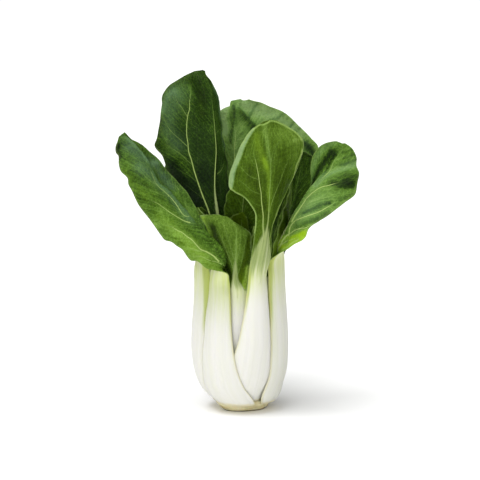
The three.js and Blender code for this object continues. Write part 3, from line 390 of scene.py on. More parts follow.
# folds and creases, and bands of painted shade, painted light and painted sheen:
# width mm, rise mm (towards the upper face), change of tone (painted shade in
# folds and hollows, painted light on lit parts, some real pale lines), of warmth
# (bluish: painted sheen; yellow-green: own colour and painted light shining
# through), of vein colour, line (s, t)
BANDS = {
    'leaf_front_left': [
        (2, 0, -0.35, 0.1, 0, [(1.94, 0.82), (1.91, 0.95), (1.88, 1.00)]),
        (5, -0.6, -0.04, -0.2, 0, [(1.90, 0.35), (1.86, 0.28), (1.81, 0.03), (1.71, -0.73), (1.61, -0.72)]),
        (2.2, 0, 0.18, -0.22, 0, [(1.96, 0.00), (1.90, -0.01), (1.84, -0.01), (1.75, -0.85)]),
        (6, 0.5, 0, -0.22, 0, [(1.78, 0.50), (1.67, 0.02), (1.54, -0.01), (1.41, 0.00)]),
        (5, 0.4, 0.06, 0.13, 0, [(1.80, 0.92), (1.75, 0.95), (1.69, 0.82), (1.63, 0.72)]),
        (1.8, 0.5, -0.12, 0.03, 0, [(1.64, 0.87), (1.60, 0.75), (1.56, 0.65)]),
        (1.8, 0.5, -0.13, 0.03, 0, [(1.56, 0.85), (1.52, 0.80)]),
        (7, -0.8, 0.2, 0.1, 0, [(1.52, 0.74), (1.45, 0.65), (1.34, 0.72), (1.25, 0.65)]),
        (0.9, 0.4, -0.18, 0, 0, [(1.79, 0.83), (1.77, 0.70), (1.73, 0.52)]),
        (0.8, 0.4, -0.16, 0, 0, [(1.73, 0.87), (1.70, 0.67), (1.66, 0.48)]),
        (0.8, 0.4, -0.18, 0, 0, [(1.42, 0.88), (1.37, 0.86), (1.32, 0.86)]),
        (3.5, 0, 0.13, 0, 0, [(1.56, -0.57), (1.48, -0.65), (1.40, -0.71)]),
        (2.2, 0.6, -0.1, 0, 0, [(1.46, 0.58), (1.38, 0.46), (1.30, 0.42), (1.23, 0.35)]),
        (1.6, 0.5, -0.08, 0, 0, [(1.29, 0.82), (1.24, 0.72), (1.18, 0.62)]),
    ],
    'leaf_right': [
        (3, -0.9, 0.12, -0.12, 0, [(1.63, 0.95), (1.73, 0.86), (1.81, 0.84), (1.89, 0.83), (1.96, 0.80)]),
        (3.9, 1.4, -0.52, 0.08, 0, [(1.64, 0.57), (1.70, 0.42), (1.77, 0.45), (1.83, 0.39), (1.90, 0.36)]),
        (1, 0.9, -0.3, 0.05, 0, [(1.63, -0.07), (1.73, -0.01), (1.81, 0.12), (1.90, 0.13)]),
        (3.2, 0.9, -0.34, 0.05, 0, [(1.67, -0.44), (1.68, -0.62), (1.71, -0.82)]),
        (6, 0.5, -0.3, 0.05, 0, [(1.72, -0.72), (1.75, -0.97)]),
        (3.4, -1, 0.25, -0.22, 0, [(1.63, -0.07), (1.71, -0.08), (1.77, -0.22), (1.82, -0.55), (1.85, -0.91)]),
        (1, 0.4, -0.2, 0, 0, [(1.93, -0.27), (1.94, -0.88)]),
        (1, 0.4, -0.22, 0, 0, [(1.88, -0.42), (1.91, -0.89)]),
        (1, 0.4, -0.25, 0, 0, [(1.83, -0.33), (1.85, -0.62), (1.88, -0.96)]),
        (1.6, 0.4, -0.36, 0.03, 0, [(1.41, -0.45), (1.45, -0.55), (1.50, -0.65), (1.54, -0.79)]),
        (2, 0.5, -0.22, 0, 0, [(1.31, -0.55), (1.36, -0.83), (1.42, -0.92), (1.48, -0.95)]),
        (1.4, 0.4, -0.16, 0, 0, [(1.54, -0.90), (1.61, -0.91), (1.66, -0.95)]),
        (4.2, 0, 0.34, 0.48, 0, [(1.02, 0.92), (1.09, 0.52), (1.23, -0.88), (1.29, -0.95)]),
        (2.5, 0, 0.1, 0.28, 0, [(1.14, 0.34), (1.26, -0.67), (1.32, -0.98)]),
        (-0.8, 0.3, 0.3, 0, 0.6, [(1.09, -0.42), (1.18, -0.87), (1.25, -0.88)]),
        (1.6, 0.4, -0.2, 0.1, 0, [(1.20, -0.53), (1.25, -0.63), (1.30, -0.88)]),
    ],
    'leaf_back': [
        (3.4, 1.8, -0.36, 0.08, 0, [(1.91, -0.08), (1.87, -0.21), (1.83, -0.28), (1.79, -0.33)]),
        (-1.4, 0.8, -0.12, 0, 0, [(1.93, -0.02), (1.89, -0.18), (1.85, -0.28), (1.81, -0.35)]),
        (2.4, 0.9, -0.26, 0.05, 0, [(1.92, 0.36), (1.86, 0.19), (1.79, 0.21)]),
        (1.1, 0.6, -0.42, 0, 0, [(1.95, -0.91), (1.92, -0.59), (1.88, -0.39), (1.86, -0.32)]),
        (1.1, 0.6, -0.42, 0, 0, [(1.83, -1.00), (1.81, -0.80), (1.81, -0.69)]),
        (1.1, 0.5, -0.45, 0, 0, [(1.77, -0.99), (1.75, -0.89)]),
        (1.1, 0.5, -0.4, 0, 0, [(1.73, -0.98), (1.72, -0.91)]),
        (1.5, 0.5, -0.32, 0.04, 0, [(1.95, 0.42), (1.90, 0.10), (1.85, 0.05), (1.79, 0.13), (1.73, 0.17)]),
        (3.4, 0.8, -0.5, 0.06, 0, [(1.64, -0.88), (1.60, -0.92), (1.57, -0.97)]),
        (8, -1, 0.24, -0.16, 0, [(1.96, -0.32), (1.89, -0.74), (1.80, -0.83), (1.71, -0.92)]),
        (4.2, 0, 0.66, -0.32, 0.22, [(1.93, 1.00), (1.90, 0.84), (1.84, 0.64), (1.79, 0.46)]),
        (0.9, 0.3, -0.2, 0, 0, [(1.85, 0.62), (1.87, 0.25)]),
    ],
    'leaf_front_right': [
        (-2.6, -0.9, 0.8, -0.68, 0, [(1.92, -1.00), (1.85, -0.95), (1.78, -0.92), (1.72, -0.93), (1.67, -0.94), (1.61, -0.95), (1.58, -0.98)]),
        (-0.9, -0.3, 0.3, -0.05, 0.5, [(1.81, 0.95), (1.85, 0.95), (1.90, 0.94), (1.94, 0.87), (1.99, 0.33), (1.96, -0.46), (1.94, -0.85), (1.88, -0.95), (1.81, -0.95)]),
        (-1.3, -0.3, 0.36, -0.05, 0.55, [(1.56, -0.99), (1.49, -1.00), (1.43, -1.00), (1.38, -1.00), (1.32, -1.00), (1.25, -1.00)]),
        (-1.3, -0.3, 0.24, 0, 0.72, [(1.20, 0.64), (1.28, 0.68), (1.38, 0.73), (1.48, 0.97), (1.56, 0.98), (1.66, 0.92), (1.75, 0.96)]),
        (3.2, 0, 0.01, 0.08, 0, [(1.88, -0.57), (1.81, -0.39), (1.75, -0.24), (1.69, -0.13)]),
        (1.8, 0, 0.14, 0.08, 0, [(1.73, -0.18), (1.67, -0.08), (1.60, -0.04), (1.51, -0.01), (1.42, 0.02)]),
        (5.5, 0, -0.18, 0, 0, [(1.66, -0.48), (1.58, -0.35), (1.50, -0.33), (1.41, -0.47)]),
        (5, 0, -0.08, 0, 0, [(1.52, 0.40), (1.64, 0.45), (1.75, 0.52)]),
        (1.6, 0, 0.14, -0.06, 0.16, [(1.95, -0.28), (1.88, -0.11), (1.81, -0.04), (1.73, 0.00)]),
        (1, 0, 0.1, 0, 0.1, [(1.81, 0.72), (1.82, 0.88), (1.81, 0.99)]),
        (1.2, 0.3, -0.12, 0, 0, [(1.76, 0.29), (1.77, 0.52), (1.78, 0.75)]),
        (1.2, 0.3, -0.1, 0, 0, [(1.73, 0.22), (1.74, 0.52), (1.75, 0.82)]),
    ],
    'leaf_back_left': [
        (3, 0, 0.16, -0.2, 0, [(1.85, 0.85), (1.81, 0.93), (1.75, 1.00)]),
        (8, 0.5, 0.13, -0.16, 0, [(1.82, 0.75), (1.75, 0.86), (1.67, 0.86), (1.60, 0.69)]),
        (3.5, -0.5, 0.05, -0.16, 0, [(1.90, -0.95), (1.78, -0.94), (1.69, -0.96), (1.62, -0.92)]),
        (5, 0.4, -0.12, 0.1, 0, [(1.93, 0.61), (1.86, 0.28), (1.76, 0.24)]),
        (6, 0.8, -0.28, 0, 0, [(1.49, 0.91), (1.41, 0.75), (1.33, 0.58)]),
        (5, 0, -0.12, 0, 0, [(1.55, -1.00), (1.47, -1.00), (1.36, -0.85)]),
        (5, -0.4, 0.1, 0.05, 0, [(1.62, 0.88), (1.55, 0.76), (1.48, 0.61)]),
    ],
    'leaf_front_small': [
        (3.4, 0.7, -0.34, 0.02, 0, [(1.70, -0.66), (1.56, -0.66), (1.38, -0.66), (1.17, -0.65)]),
        (2.2, -0.5, 0.2, 0.15, 0, [(1.77, -0.87), (1.69, -0.88), (1.53, -0.87), (1.33, -0.91)]),
        (3.2, 0.8, -0.32, 0.1, 0, [(1.63, 0.89), (1.46, 0.74), (1.31, 0.52), (1.15, 0.35)]),
        (2.2, 0, 0.75, 0.26, 0, [(1.29, 0.82), (1.14, 0.76), (1.03, 0.60)]),
        (1.2, -0.4, 0.16, 0, 0.2, [(1.64, 0.00), (1.46, 0.00), (1.25, -0.02)]),
    ],
    'leaf_back_right': [
    ],
}
# midribs that wander from the middle of the blade
RIBS = {
    'leaf_right': [(1.16, -0.70), (1.27, -0.28), (1.41, -0.18), (1.55, -0.11), (1.65, -0.07), (1.75, -0.05), (1.83, -0.01), (1.90, -0.02), (1.95, -0.15)],
    'leaf_back': [(1.30, -0.03), (1.48, 0.00), (1.62, 0.01), (1.70, 0.01), (1.77, 0.00), (1.87, 0.05), (1.93, 0.10)],
    'leaf_front_left': [(1.12, -0.29), (1.17, -0.49), (1.25, -0.42), (1.34, -0.30), (1.39, -0.24), (1.45, 0.12), (1.51, 0.09), (1.56, 0.10), (1.61, 0.13), (1.66, 0.12), (1.71, 0.11), (1.79, 0.12), (1.83, 0.03)],
}

# how each leaf looks.  tone: 0 deep green .. 1 light green; warm: 0 bluish, a
# painted sheen of the glossy face, .. 1 yellow-green, partly the leaf's own colour
# and partly painted light shining through thin lamina; pucker: how far the
# lamina stands up between its veins (mm); wave: height and length of the ripples
# of the margin (mm); quilt: height of the fine ridges that follow the side veins
# (mm); patches: centre (s, t), reach (s, t), change of tone, change of warmth:
# painted light and shade, with some of the leaf's own uneven colour.
LOOKS = {
    'leaf_front_left': dict(tone=0.34, warm=0.44, pucker=1.0, wave=(0.8, 15.0), rib=(1.6, 0.6), quilt=0.30, core_tail=0.0, neck=0.10, core_under=(2.0, 0.05), under_from=1.14, under_rib=(2.2, [(1.3, 0.05), (1.5, 0.9), (1.9, 0.8)]),
        rib_gain=[(1.0, 0.2), (1.25, 0.35), (1.38, 0.75), (1.5, 1.0), (1.7, 1.0), (1.82, 0.3)],
        core_upper=(-3.0, 5.0), olive=[(1, 0.95, 0.90, 0.5, 0.8)], patches=[
        (1.30, 0.80, 0.22, 0.5, 0.16, 0.10), (1.12, 0.90, 0.10, 0.4, 0.06, 0.08),
        (1.22, -0.45, 0.22, 0.4, 0.03, -0.04), (1.97, 0.10, 0.06, 0.8, 0.00, -0.08)]),
    'leaf_right': dict(calm=1.25, tint=0.05, tone=0.51, warm=0.42, pucker=1.1, wave=(0.5, 13.0), rib=(1.8, 0.7), quilt=0.40, core_tail=0.0, green_from=1.05, under_from=1.15, core_under=(4.0, 0.08),
        rib_gain=[(1.0, 0.3), (1.5, 0.2), (1.66, 0.3), (1.72, 0.9), (1.85, 0.7)],
        core_upper=(1.0, 0.08), olive=[(-1, 0.92, 0.81, 0.5, 0.7)], patches=[
        (1.20, 0.50, 0.25, 0.5, -0.30, 0.1), (1.45, -0.55, 0.14, 0.4, 0.06, -0.10), (1.45, -0.30, 0.14, 0.5, 0.12, -0.08),
        (1.90, -0.45, 0.10, 0.5, -0.06, 0.02)]),
    'leaf_left': dict(calm=1.25, green_from=1.12, under_rib=(2.6, [(1.0, 0.9), (1.9, 0.6)]), tone=0.34, warm=0.45, pucker=1.0, wave=(0.7, 16.0), rib=(2.6, 0.9),
        olive=[(1, 0.77, 0.64, 0.5, 0.65)], patches=[]),
    'leaf_back': dict(tone=0.60, warm=0.36, pucker=1.0, wave=(0.15, 18.0), rib=(1.3, 0.7), rib_strength=0.8, quilt=0.34, core_tail=0.0,
        rib_gain=[(1.0, 0.9), (1.75, 0.9), (1.86, 0.15)], core_upper=(3.0, 0.10), patches=[
        (1.93, -0.50, 0.12, 0.6, 0.12, -0.02), (1.60, 0.10, 0.20, 0.4, 0.0, -0.05)]),
    'leaf_front_right': dict(tint_from=(0.68, 1.05), tone=0.22, warm=0.56, pucker=0.5, wave=(0.15, 15.0), rib=(2.3, 0.8), rib_strength=0.9, soften=9,
        quilt=0.16, flow='fan', rib_gain=[(1.1, 1.0), (1.4, 0.9), (1.6, 0.5), (1.9, 0.45)], round=(1.2, 1.6), core_tail=0.0,
        core_under=(11.5, 0.29, 2.4), core_soft=(-5.0, 2.6), core_end=(1.14, 1.36), neck=0.42, neck_from=(0.91, 1.13), olive=[(-1, 0.92, 0.74, 0.62, 0.9)], patches=[
        (1.90, 0.10, 0.10, 0.9, 0.10, 0.0), (1.80, 0.80, 0.14, 0.40, 0.28, 0.0), (1.20, 0.20, 0.14, 0.5, -0.12, 0.0), (1.60, 0.40, 0.14, 0.3, -0.08, 0.0), (1.45, -0.45, 0.22, 0.4, 0.02, 0.02)]),
    'leaf_back_left': dict(tone=0.18, warm=0.45, pucker=1.0, wave=(0.5, 16.0), rib=(2.8, 0.6), rib_strength=0.95, quilt=0.28, core_tail=0.3,
        rib_gain=[(1.0, 1.0), (1.6, 0.95), (1.75, 0.6), (1.85, 0.25)], core_upper=(4.0, 0.12), rim=0.3, patches=[
        (1.90, 0.75, 0.10, 0.35, 0.10, -0.10), (1.90, 0.20, 0.10, 0.5, 0.02, 0.0), (1.40, 0.10, 0.22, 0.8, -0.13, 0.0)]),
    'leaf_back_right': dict(vein_gain=0.35, tone=0.16, warm=0.50, pucker=1.0, wave=(0.8, 16.0), rib=(1.0, 0.7), rib_strength=0.4, core_tail=0.0,
        core_upper=(1.0, 0.12), patches=[]),
    'leaf_front_small': dict(tint_from=(0.60, 1.05), tint=-0.05, tone=0.38, warm=0.52, pucker=0.5, wave=(0.2, 14.0), rib=(1.2, 0.6), rib_strength=0.35, core_tail=0.0,
        quilt=0.14, flow='fan', core_under=(6.6, 0.155), neck=0.42, neck_from=(0.95, 1.15), foot=0.60, green_from=1.05, green_run=0.35,
        olive=[(-1, 0.88, 0.60, 0.3, 0.75), (1, 0.92, 0.80, 0.4, 0.8)], patches=[]),
    # the patch on this leaf is painted light on a spot that lies in the shade of the front right leaf
    'inner_leaf_right': dict(vein_gain=0.15, rib_strength=0.35, tone=0.20, warm=0.58, pucker=0.8, wave=(0.6, 12.0), rib=(1.6, 0.6), patches=[
        (1.30, -0.85, 0.12, 0.30, 1.00, 0.40)]),
    'inner_leaf_left': dict(vein_gain=0.5, tone=0.20, warm=0.58, pucker=0.8, wave=(0.6, 12.0), rib=(1.6, 0.6), patches=[]),
    'inner_leaf_back': dict(vein_gain=0.4, tone=0.30, warm=0.59, pucker=0.8, wave=(0.7, 11.0), rib=(1.6, 0.6), patches=[]),
    'heart_leaf_right': dict(tone=0.30, warm=0.66, pucker=0.5, wave=(0.5, 9.0), rib=(1.4, 0.5), patches=[]),
    'heart_leaf_left': dict(tone=0.30, warm=0.66, pucker=0.5, wave=(0.5, 9.0), rib=(1.4, 0.5), patches=[]),
    # the low tone of this leaf is painted shade of the hollow at the heart
    'heart_leaf_back': dict(tone=0.10, warm=0.66, pucker=0.5, wave=(0.5, 9.0), rib=(1.4, 0.5), patches=[]),
    'heart_leaf_front': dict(tone=0.45, warm=0.70, pucker=0.5, wave=(0.5, 9.0), rib=(1.4, 0.5), patches=[]),
}

# ---- curves and the room between the stalks ------------------------------
def herm(xs, ys, x):
    """cubic Hermite curve through ys at the uneven parameters xs"""
    xs, ys, x = np.asarray(xs, float), np.asarray(ys, float), np.asarray(x, float)
    n, h = len(xs), np.diff(xs)
    sl = (ys[1:] - ys[:-1]) / (h[:, None] if ys.ndim > 1 else h)
    d = np.zeros_like(ys)
    d[0], d[-1] = sl[0], sl[-1]
    for i in range(1, n - 1):
        d[i] = (sl[i - 1] * h[i] + sl[i] * h[i - 1]) / (h[i - 1] + h[i])
    i = np.clip(np.searchsorted(xs, x, side='right') - 1, 0, n - 2)
    t, hh = np.clip((x - xs[i]) / h[i], 0, 1), h[i]
    if ys.ndim > 1:
        t, hh = t[..., None], hh[..., None]
    return ((2 * t ** 3 - 3 * t ** 2 + 1) * ys[i] + (t ** 3 - 2 * t ** 2 + t) * hh * d[i]
            + (3 * t ** 2 - 2 * t ** 3) * ys[i + 1] + (t ** 3 - t ** 2) * hh * d[i + 1])


def smooth(a, b, x):
    t = np.clip((np.asarray(x, float) - a) / (b - a), 0, 1)
    return t * t * (3 - 2 * t)


def softmin(a, b, k=1.2):
    return 0.5 * (a + b - np.sqrt((a - b) ** 2 + k * k))


def axis_x(z):
    return HEAD_AXIS_X * smooth(0, AXIS_BEND_HEIGHT, z)


def unit(v):
    return v / (np.linalg.norm(v, axis=-1)[..., None] + 1e-9)


PHI_STEPS, Z_STEPS, Z_TOP = 180, 41, 124.0
PHI = np.arange(PHI_STEPS) * (360 / PHI_STEPS) - 180.0
ZED = np.linspace(0, Z_TOP, Z_STEPS)


def sample_room(A, phi, z):
    fp = ((phi + 180) % 360) / (360 / PHI_STEPS)
    fz = np.clip(z / (ZED[1] - ZED[0]), 0, Z_STEPS - 1.0001)
    i = np.floor(fp).astype(int)
    a = fp - i
    i = i % PHI_STEPS
    i2 = (i + 1) % PHI_STEPS
    j = np.floor(fz).astype(int)
    b = fz - j
    return ((A[i, j] * (1 - a) + A[i2, j] * a) * (1 - b)
            + (A[i, j + 1] * (1 - a) + A[i2, j + 1] * a) * b)


def rows_of(lf, z):
    p = lf['petiole']
    z = np.clip(z, p[0, 0], p[-1, 0])
    return [herm(p[:, 0], p[:, k], z) for k in range(1, 6)]


def soften(A, times):
    """evens the room out round the head, so that a tucked stalk has no crease"""
    for _ in range(times):
        A = 0.25 * np.roll(A, 1, 0) + 0.5 * A + 0.25 * np.roll(A, -1, 0)
    return A.copy()


def lay_stalks():
    """outermost first; each stalk keeps inside the room that is left"""
    A = np.full((PHI_STEPS, Z_STEPS), 60.0)
    for lf in LEAVES:
        lf['petiole'] = np.array(lf['petiole'], float)
        lf['room'] = soften(A, LOOKS[lf['name']].get('soften', 0))
        lf['room_as_found'] = A
        p = lf['petiole']
        left, right, radius, tuck, thick = rows_of(lf, ZED)
        mid, half = (left + right) / 2, (right - left) / 2
        off = (PHI[:, None] - mid + 180) % 360 - 180
        t = off / half
        tc = np.clip(t, -1, 1)
        at = mid + tc * half
        outer = softmin(radius - tuck * tc ** 2,
                        sample_room(A, at, np.broadcast_to(ZED, at.shape)) - STALK_GAP)
        inner = np.maximum(outer - STALK_EDGE - (thick - STALK_EDGE) * (1 - tc ** 2), 0.4)
        ramp = np.maximum(np.abs(t) - 1, 0) * half * math.pi / 180 * outer * NEST_SLOPE
        act = (ZED >= p[0, 0] - 3) & (ZED <= p[-1, 0] + 8)
        A = np.where(act & (np.abs(off) < half + 40), np.minimum(A, inner + ramp), A)
    return A


def stalk_point(lf, t, z):
    left, right, radius, tuck, _ = rows_of(lf, z)
    phi = (left + right) / 2 + t * (right - left) / 2
    r = np.maximum(softmin(radius - tuck * t * t, sample_room(lf['room'], phi, z) - STALK_GAP), 1.2)
    a = np.radians(phi)
    return np.stack([axis_x(z) + r * np.sin(a), -r * np.cos(a), z], -1)


def long_curve(lf, key, t):
    p = lf['petiole']
    z = np.linspace(p[0, 0], p[-1, 0], 9)
    P = stalk_point(lf, np.full(9, t), z)
    B = np.array(lf[key], float)
    run = np.cumsum(np.linalg.norm(np.diff(np.vstack([P[-1:], B]), axis=0), axis=1))
    return np.concatenate([np.linspace(0, 1, 9), 1 + run / run[-1]]), np.vstack([P, B])


def base_sheet(lf, s, t):
    """outer face, thickness, inward direction and shape factors, before relief"""
    p = lf['petiole']
    z0, z1 = p[0, 0], p[-1, 0]
    L, M, R = [herm(*long_curve(lf, k, v), s) for k, v in (('left', -1.), ('middle', 0.), ('right', 1.))]
    n = unit(np.cross(unit(np.gradient(M, s, axis=0)), unit(R - L)))
    bl, br = [herm(*zip(*lf[k]), s) for k in ('bulgeLeft', 'bulgeRight')]
    # the neck is rounded across: no valley at the midrib until the blade opens
    k = smooth(*LOOKS[lf['name']].get('round', (1.1, 1.4))[::-1], s)
    bl = bl * (1 - k) + k * ((M - L) * n).sum(1) / 4
    br = br * (1 - k) + k * ((M - R) * n).sum(1) / 4
    T = t[None, :, None]
    q = np.abs(T)
    side = np.where(T < 0, L[:, None], R[:, None])
    bulge = np.where(T < 0, bl[:, None, None], br[:, None, None]) * 4 * q * (1 - q)
    blade = M[:, None] * (1 - q) + side * q + n[:, None] * bulge
    z = z0 + np.clip(s, 0, 1) * (z1 - z0)
    ti, zi = np.broadcast_to(t[None], (len(s), len(t))), np.broadcast_to(z[:, None], (len(s), len(t)))
    w = smooth(0.8, 1.0, s)[:, None]
    P = stalk_point(lf, ti, zi) * (1 - w[..., None]) + blade * w[..., None]
    half_l = np.linalg.norm(L - M, axis=1)
    half_r = np.linalg.norm(R - M, axis=1)
    half = 0.5 * (half_l + half_r)[:, None]
    thick = rows_of(lf, z)[4][:, None]
    hs = STALK_EDGE + (thick - STALK_EDGE) * (1 - ti ** 2)
    sb = np.clip(s - 1, 0, 1)[:, None]
    wr = np.maximum(RIB_WIDTH * (1 - sb) ** 1.2, 1.5)
    hb = 0.62 + (p[-1, 5] - 0.62) * (1 - sb) ** 1.6 * np.exp(-(ti * half / wr) ** 2)
    hb = hb * (1 - 0.3 * smooth(0.88, 1, np.abs(ti)))
    h = hs * (1 - w) + hb * w
    return P, h, zi, half_l, half_r


def normal_field(P, s, t):
    return unit(np.cross(np.gradient(P, s, axis=0), np.gradient(P, t, axis=1)))


def bilinear(G, s, t, qs, qt):
    """value of grid G, rows s and columns t, at the points (qs, qt)"""
    qs, qt = np.clip(qs, s[0], s[-1]), np.clip(qt, t[0], t[-1])
    i = np.clip(np.searchsorted(s, qs, side='right') - 1, 0, len(s) - 2)
    j = np.clip(np.searchsorted(t, qt, side='right') - 1, 0, len(t) - 2)
    a, b = (qs - s[i]) / (s[i + 1] - s[i]), (qt - t[j]) / (t[j + 1] - t[j])
    if G.ndim > 2:
        a, b = a[..., None], b[..., None]
    return (G[i, j] * (1 - a) * (1 - b) + G[i, j + 1] * (1 - a) * b
            + G[i + 1, j] * a * (1 - b) + G[i + 1, j + 1] * a * b)


def wobble(x, y, seed, length):
    """smooth seeded bumps of about the given length, between -1 and 1"""
    rng = np.random.RandomState(seed)
    v = 0
    for _ in range(7):
        a = rng.uniform(0, 2 * math.pi)
        k = 2 * math.pi / (length * rng.uniform(0.7, 1.6))
        v = v + np.sin(k * (x * math.cos(a) + y * math.sin(a)) + rng.uniform(0, 6.28))
    return v / 3.6


# ---- veins ------------------------------------------------------------------
def pinnate(lf, seed, count, side, first=1.14, last=1.86):
    """side veins of a half blade that has no drawn ones"""
    rng = np.random.RandomState(seed)
    out = []
    for k in range(count):
        s0 = first + (last - first) * (k + rng.uniform(-0.18, 0.18)) / max(count - 1, 1)
        reach = (0.30 - 0.16 * k / count) * rng.uniform(0.85, 1.15)
        pts = []
        for q in np.linspace(0, 1, 9):
            pts.append((min(s0 + reach * q ** 0.85, 1.985), side * 0.93 * q ** (0.85 + 0.1 * k / count)))
        out.append((max(1.7 - 1.0 * k / count, 0.7), pts))
    return out


def resample(pts, P, s, t, step):
    """points (s, t) about step mm apart along a smooth line through pts"""
    pts = np.array(pts, float)
    if len(pts) > 2:
        u = np.concatenate([[0], np.cumsum(np.hypot(*(np.diff(pts, axis=0) * [2.0, 1.0]).T) + 1e-6)])
        q = herm(u, pts, np.linspace(0, u[-1], 12 * len(pts)))
    else:
        q = pts[0] + (pts[1] - pts[0]) * np.linspace(0, 1, 24)[:, None]
    X = bilinear(P, s, t, q[:, 0], q[:, 1])
    run = np.concatenate([[0], np.cumsum(np.linalg.norm(np.diff(X, axis=0), axis=1))])
    n = max(int(run[-1] / step) + 1, 3)
    at = np.linspace(0, run[-1], n)
    return np.stack([np.interp(at, run, q[:, 0]), np.interp(at, run, q[:, 1])], 1), run[-1]


def distance_to(points, P, chunk=4000):
    """distance from every grid point to the nearest of the given points"""
    flat = P.reshape(-1, 3)
    out = np.empty(len(flat))
    p2 = (points ** 2).sum(1)
    for a in range(0, len(flat), chunk):
        f = flat[a:a + chunk]
        d = (f ** 2).sum(1)[:, None] + p2 - 2 * f @ points.T
        out[a:a + chunk] = np.sqrt(np.maximum(d.min(1), 0))
    return out.reshape(P.shape[:2])


def twigs(lines, P, s, t, dist, seed, every, reach):
    """short cross veins that leave the given lines and stop at the next one"""
    rng = np.random.RandomState(seed)
    Ps, Pt = np.gradient(P, s, axis=0), np.gradient(P, t, axis=1)
    out = []
    for width, q in lines:
        X = bilinear(P, s, t, q[:, 0], q[:, 1])
        run = np.concatenate([[0], np.cumsum(np.linalg.norm(np.diff(X, axis=0), axis=1))])
        side = 1 if rng.rand() < 0.5 else -1
        at = every * rng.uniform(0.4, 1.0)
        while at < run[-1] * 0.97:
            side = -side
            k = min(np.searchsorted(run, at), len(q) - 2)
            a = bilinear(Ps, s, t, *q[k:k + 1].T)[0]
            b = bilinear(Pt, s, t, *q[k:k + 1].T)[0]
            fwd = X[k + 1] - X[k]
            nrm = np.cross(a, b)
            head = math.radians(rng.uniform(42, 66)) * side
            d = unit(fwd) * math.cos(head) + unit(np.cross(nrm, fwd)) * math.sin(head)
            cur = q[k].copy()
            path = [cur.copy()]
            bend = rng.uniform(-0.05, 0.12) * side
            longest = reach * rng.uniform(0.6, 1.25)
            gone = 0.0
            while gone < longest:
                a = bilinear(Ps, s, t, cur[:1], cur[1:])[0]
                b = bilinear(Pt, s, t, cur[:1], cur[1:])[0]
                m = np.array([[a @ a, a @ b], [a @ b, b @ b]]) + np.eye(2) * 1e-6
                step = np.linalg.solve(m, np.array([a @ d, b @ d]))
                cur = cur + step * 0.9
                gone += 0.9
                if not (1.03 < cur[0] < 1.99 and abs(cur[1]) < 0.985):
                    break
                path.append(cur.copy())
                if gone > 3.2 and bilinear(dist, s, t, cur[:1], cur[1:])[0] < 0.5:
                    break
                n = unit(np.cross(a, b))
                d = unit(d * math.cos(bend) + np.cross(n, d) * math.sin(bend))
            if len(path) > 3:
                out.append((0.42 if width > 1.2 else 0.34, np.array(path)))
            at += every * rng.uniform(0.7, 1.35)
    return out


def ribbon(face, normals, attrs, s, t, q, width, lift, strength, ends, fine, gain=None):
    """a raised vein draped on a face: (points, quads, attributes)"""
    if fine:
        xs, hs, vs = np.array([-1, 0, 1.]), np.array([-0.05, 1, -0.05]), np.array([0., 1, 0])
    else:
        xs = np.array([-1, -0.55, -0.22, 0.22, 0.55, 1.])
        hs = np.array([-0.15, 0.5, 1.0, 1.0, 0.5, -0.15])
        vs = np.array([0, 0.62, 1, 1, 0.62, 0])
    X = bilinear(face, s, t, q[:, 0], q[:, 1])
    N = unit(bilinear(normals, s, t, q[:, 0], q[:, 1]))
    tan = unit(np.gradient(X, axis=0))
    lat = unit(np.cross(N, tan))
    e = 1e-3
    A = (bilinear(face, s, t, q[:, 0] + e, q[:, 1]) - bilinear(face, s, t, q[:, 0] - e, q[:, 1])) / (2 * e)
    B = (bilinear(face, s, t, q[:, 0], q[:, 1] + e) - bilinear(face, s, t, q[:, 0], q[:, 1] - e)) / (2 * e)
    AA, BB, AB = (A * A).sum(1) + 1e-6, (B * B).sum(1) + 1e-6, (A * B).sum(1)
    det = AA * BB - AB * AB + 1e-6
    al, bl = (A * lat).sum(1), (B * lat).sum(1)
    ds, dt = (al * BB - bl * AB) / det, (bl * AA - al * AB) / det
    k = np.linspace(0, 1, len(q))
    w = 0.5 * width * (ends[1] + (ends[0] - ends[1]) * (1 - k) ** 1.6)
    fade = strength * np.minimum(1, (1.02 - k) / 0.18)
    if gain is not None:
        fade = fade * np.interp(q[:, 0], *zip(*gain))
    qs = q[:, :1] + ds[:, None] * w[:, None] * xs
    qt = q[:, 1:] + dt[:, None] * w[:, None] * xs
    qt = np.clip(qt, -0.999, 0.999)
    pos = bilinear(face, s, t, qs.ravel(), qt.ravel()).reshape(len(q), len(xs), 3)
    up = unit(bilinear(normals, s, t, qs.ravel(), qt.ravel())).reshape(len(q), len(xs), 3)
    rise = lift * np.minimum(1, w / (0.5 * width) + 0.2)[:, None] * hs
    pos = pos + up * rise[..., None]
    vals = {}
    for name, g in attrs.items():
        v = bilinear(g, s, t, qs.ravel(), qt.ravel())
        vals[name] = v
    vals['vein'] = np.maximum(vals['vein'].reshape(len(q), len(xs)), fade[:, None] * vs).ravel()
    m = len(xs)
    i = np.arange((len(q) - 1) * (m - 1))
    r, c = i // (m - 1), i % (m - 1)
    a = r * m + c
    quads = np.stack([a, a + 1, a + m + 1, a + m], 1)
    return pos.reshape(-1, 3), quads, vals

# ---- materials ---------------------------------------------------------------
def srgb(r, g, b):
    f = [c / 255 for c in (r, g, b)]
    return tuple(c / 12.92 if c <= 0.04045 else ((c + 0.055) / 1.055) ** 2.4 for c in f) + (1.0,)


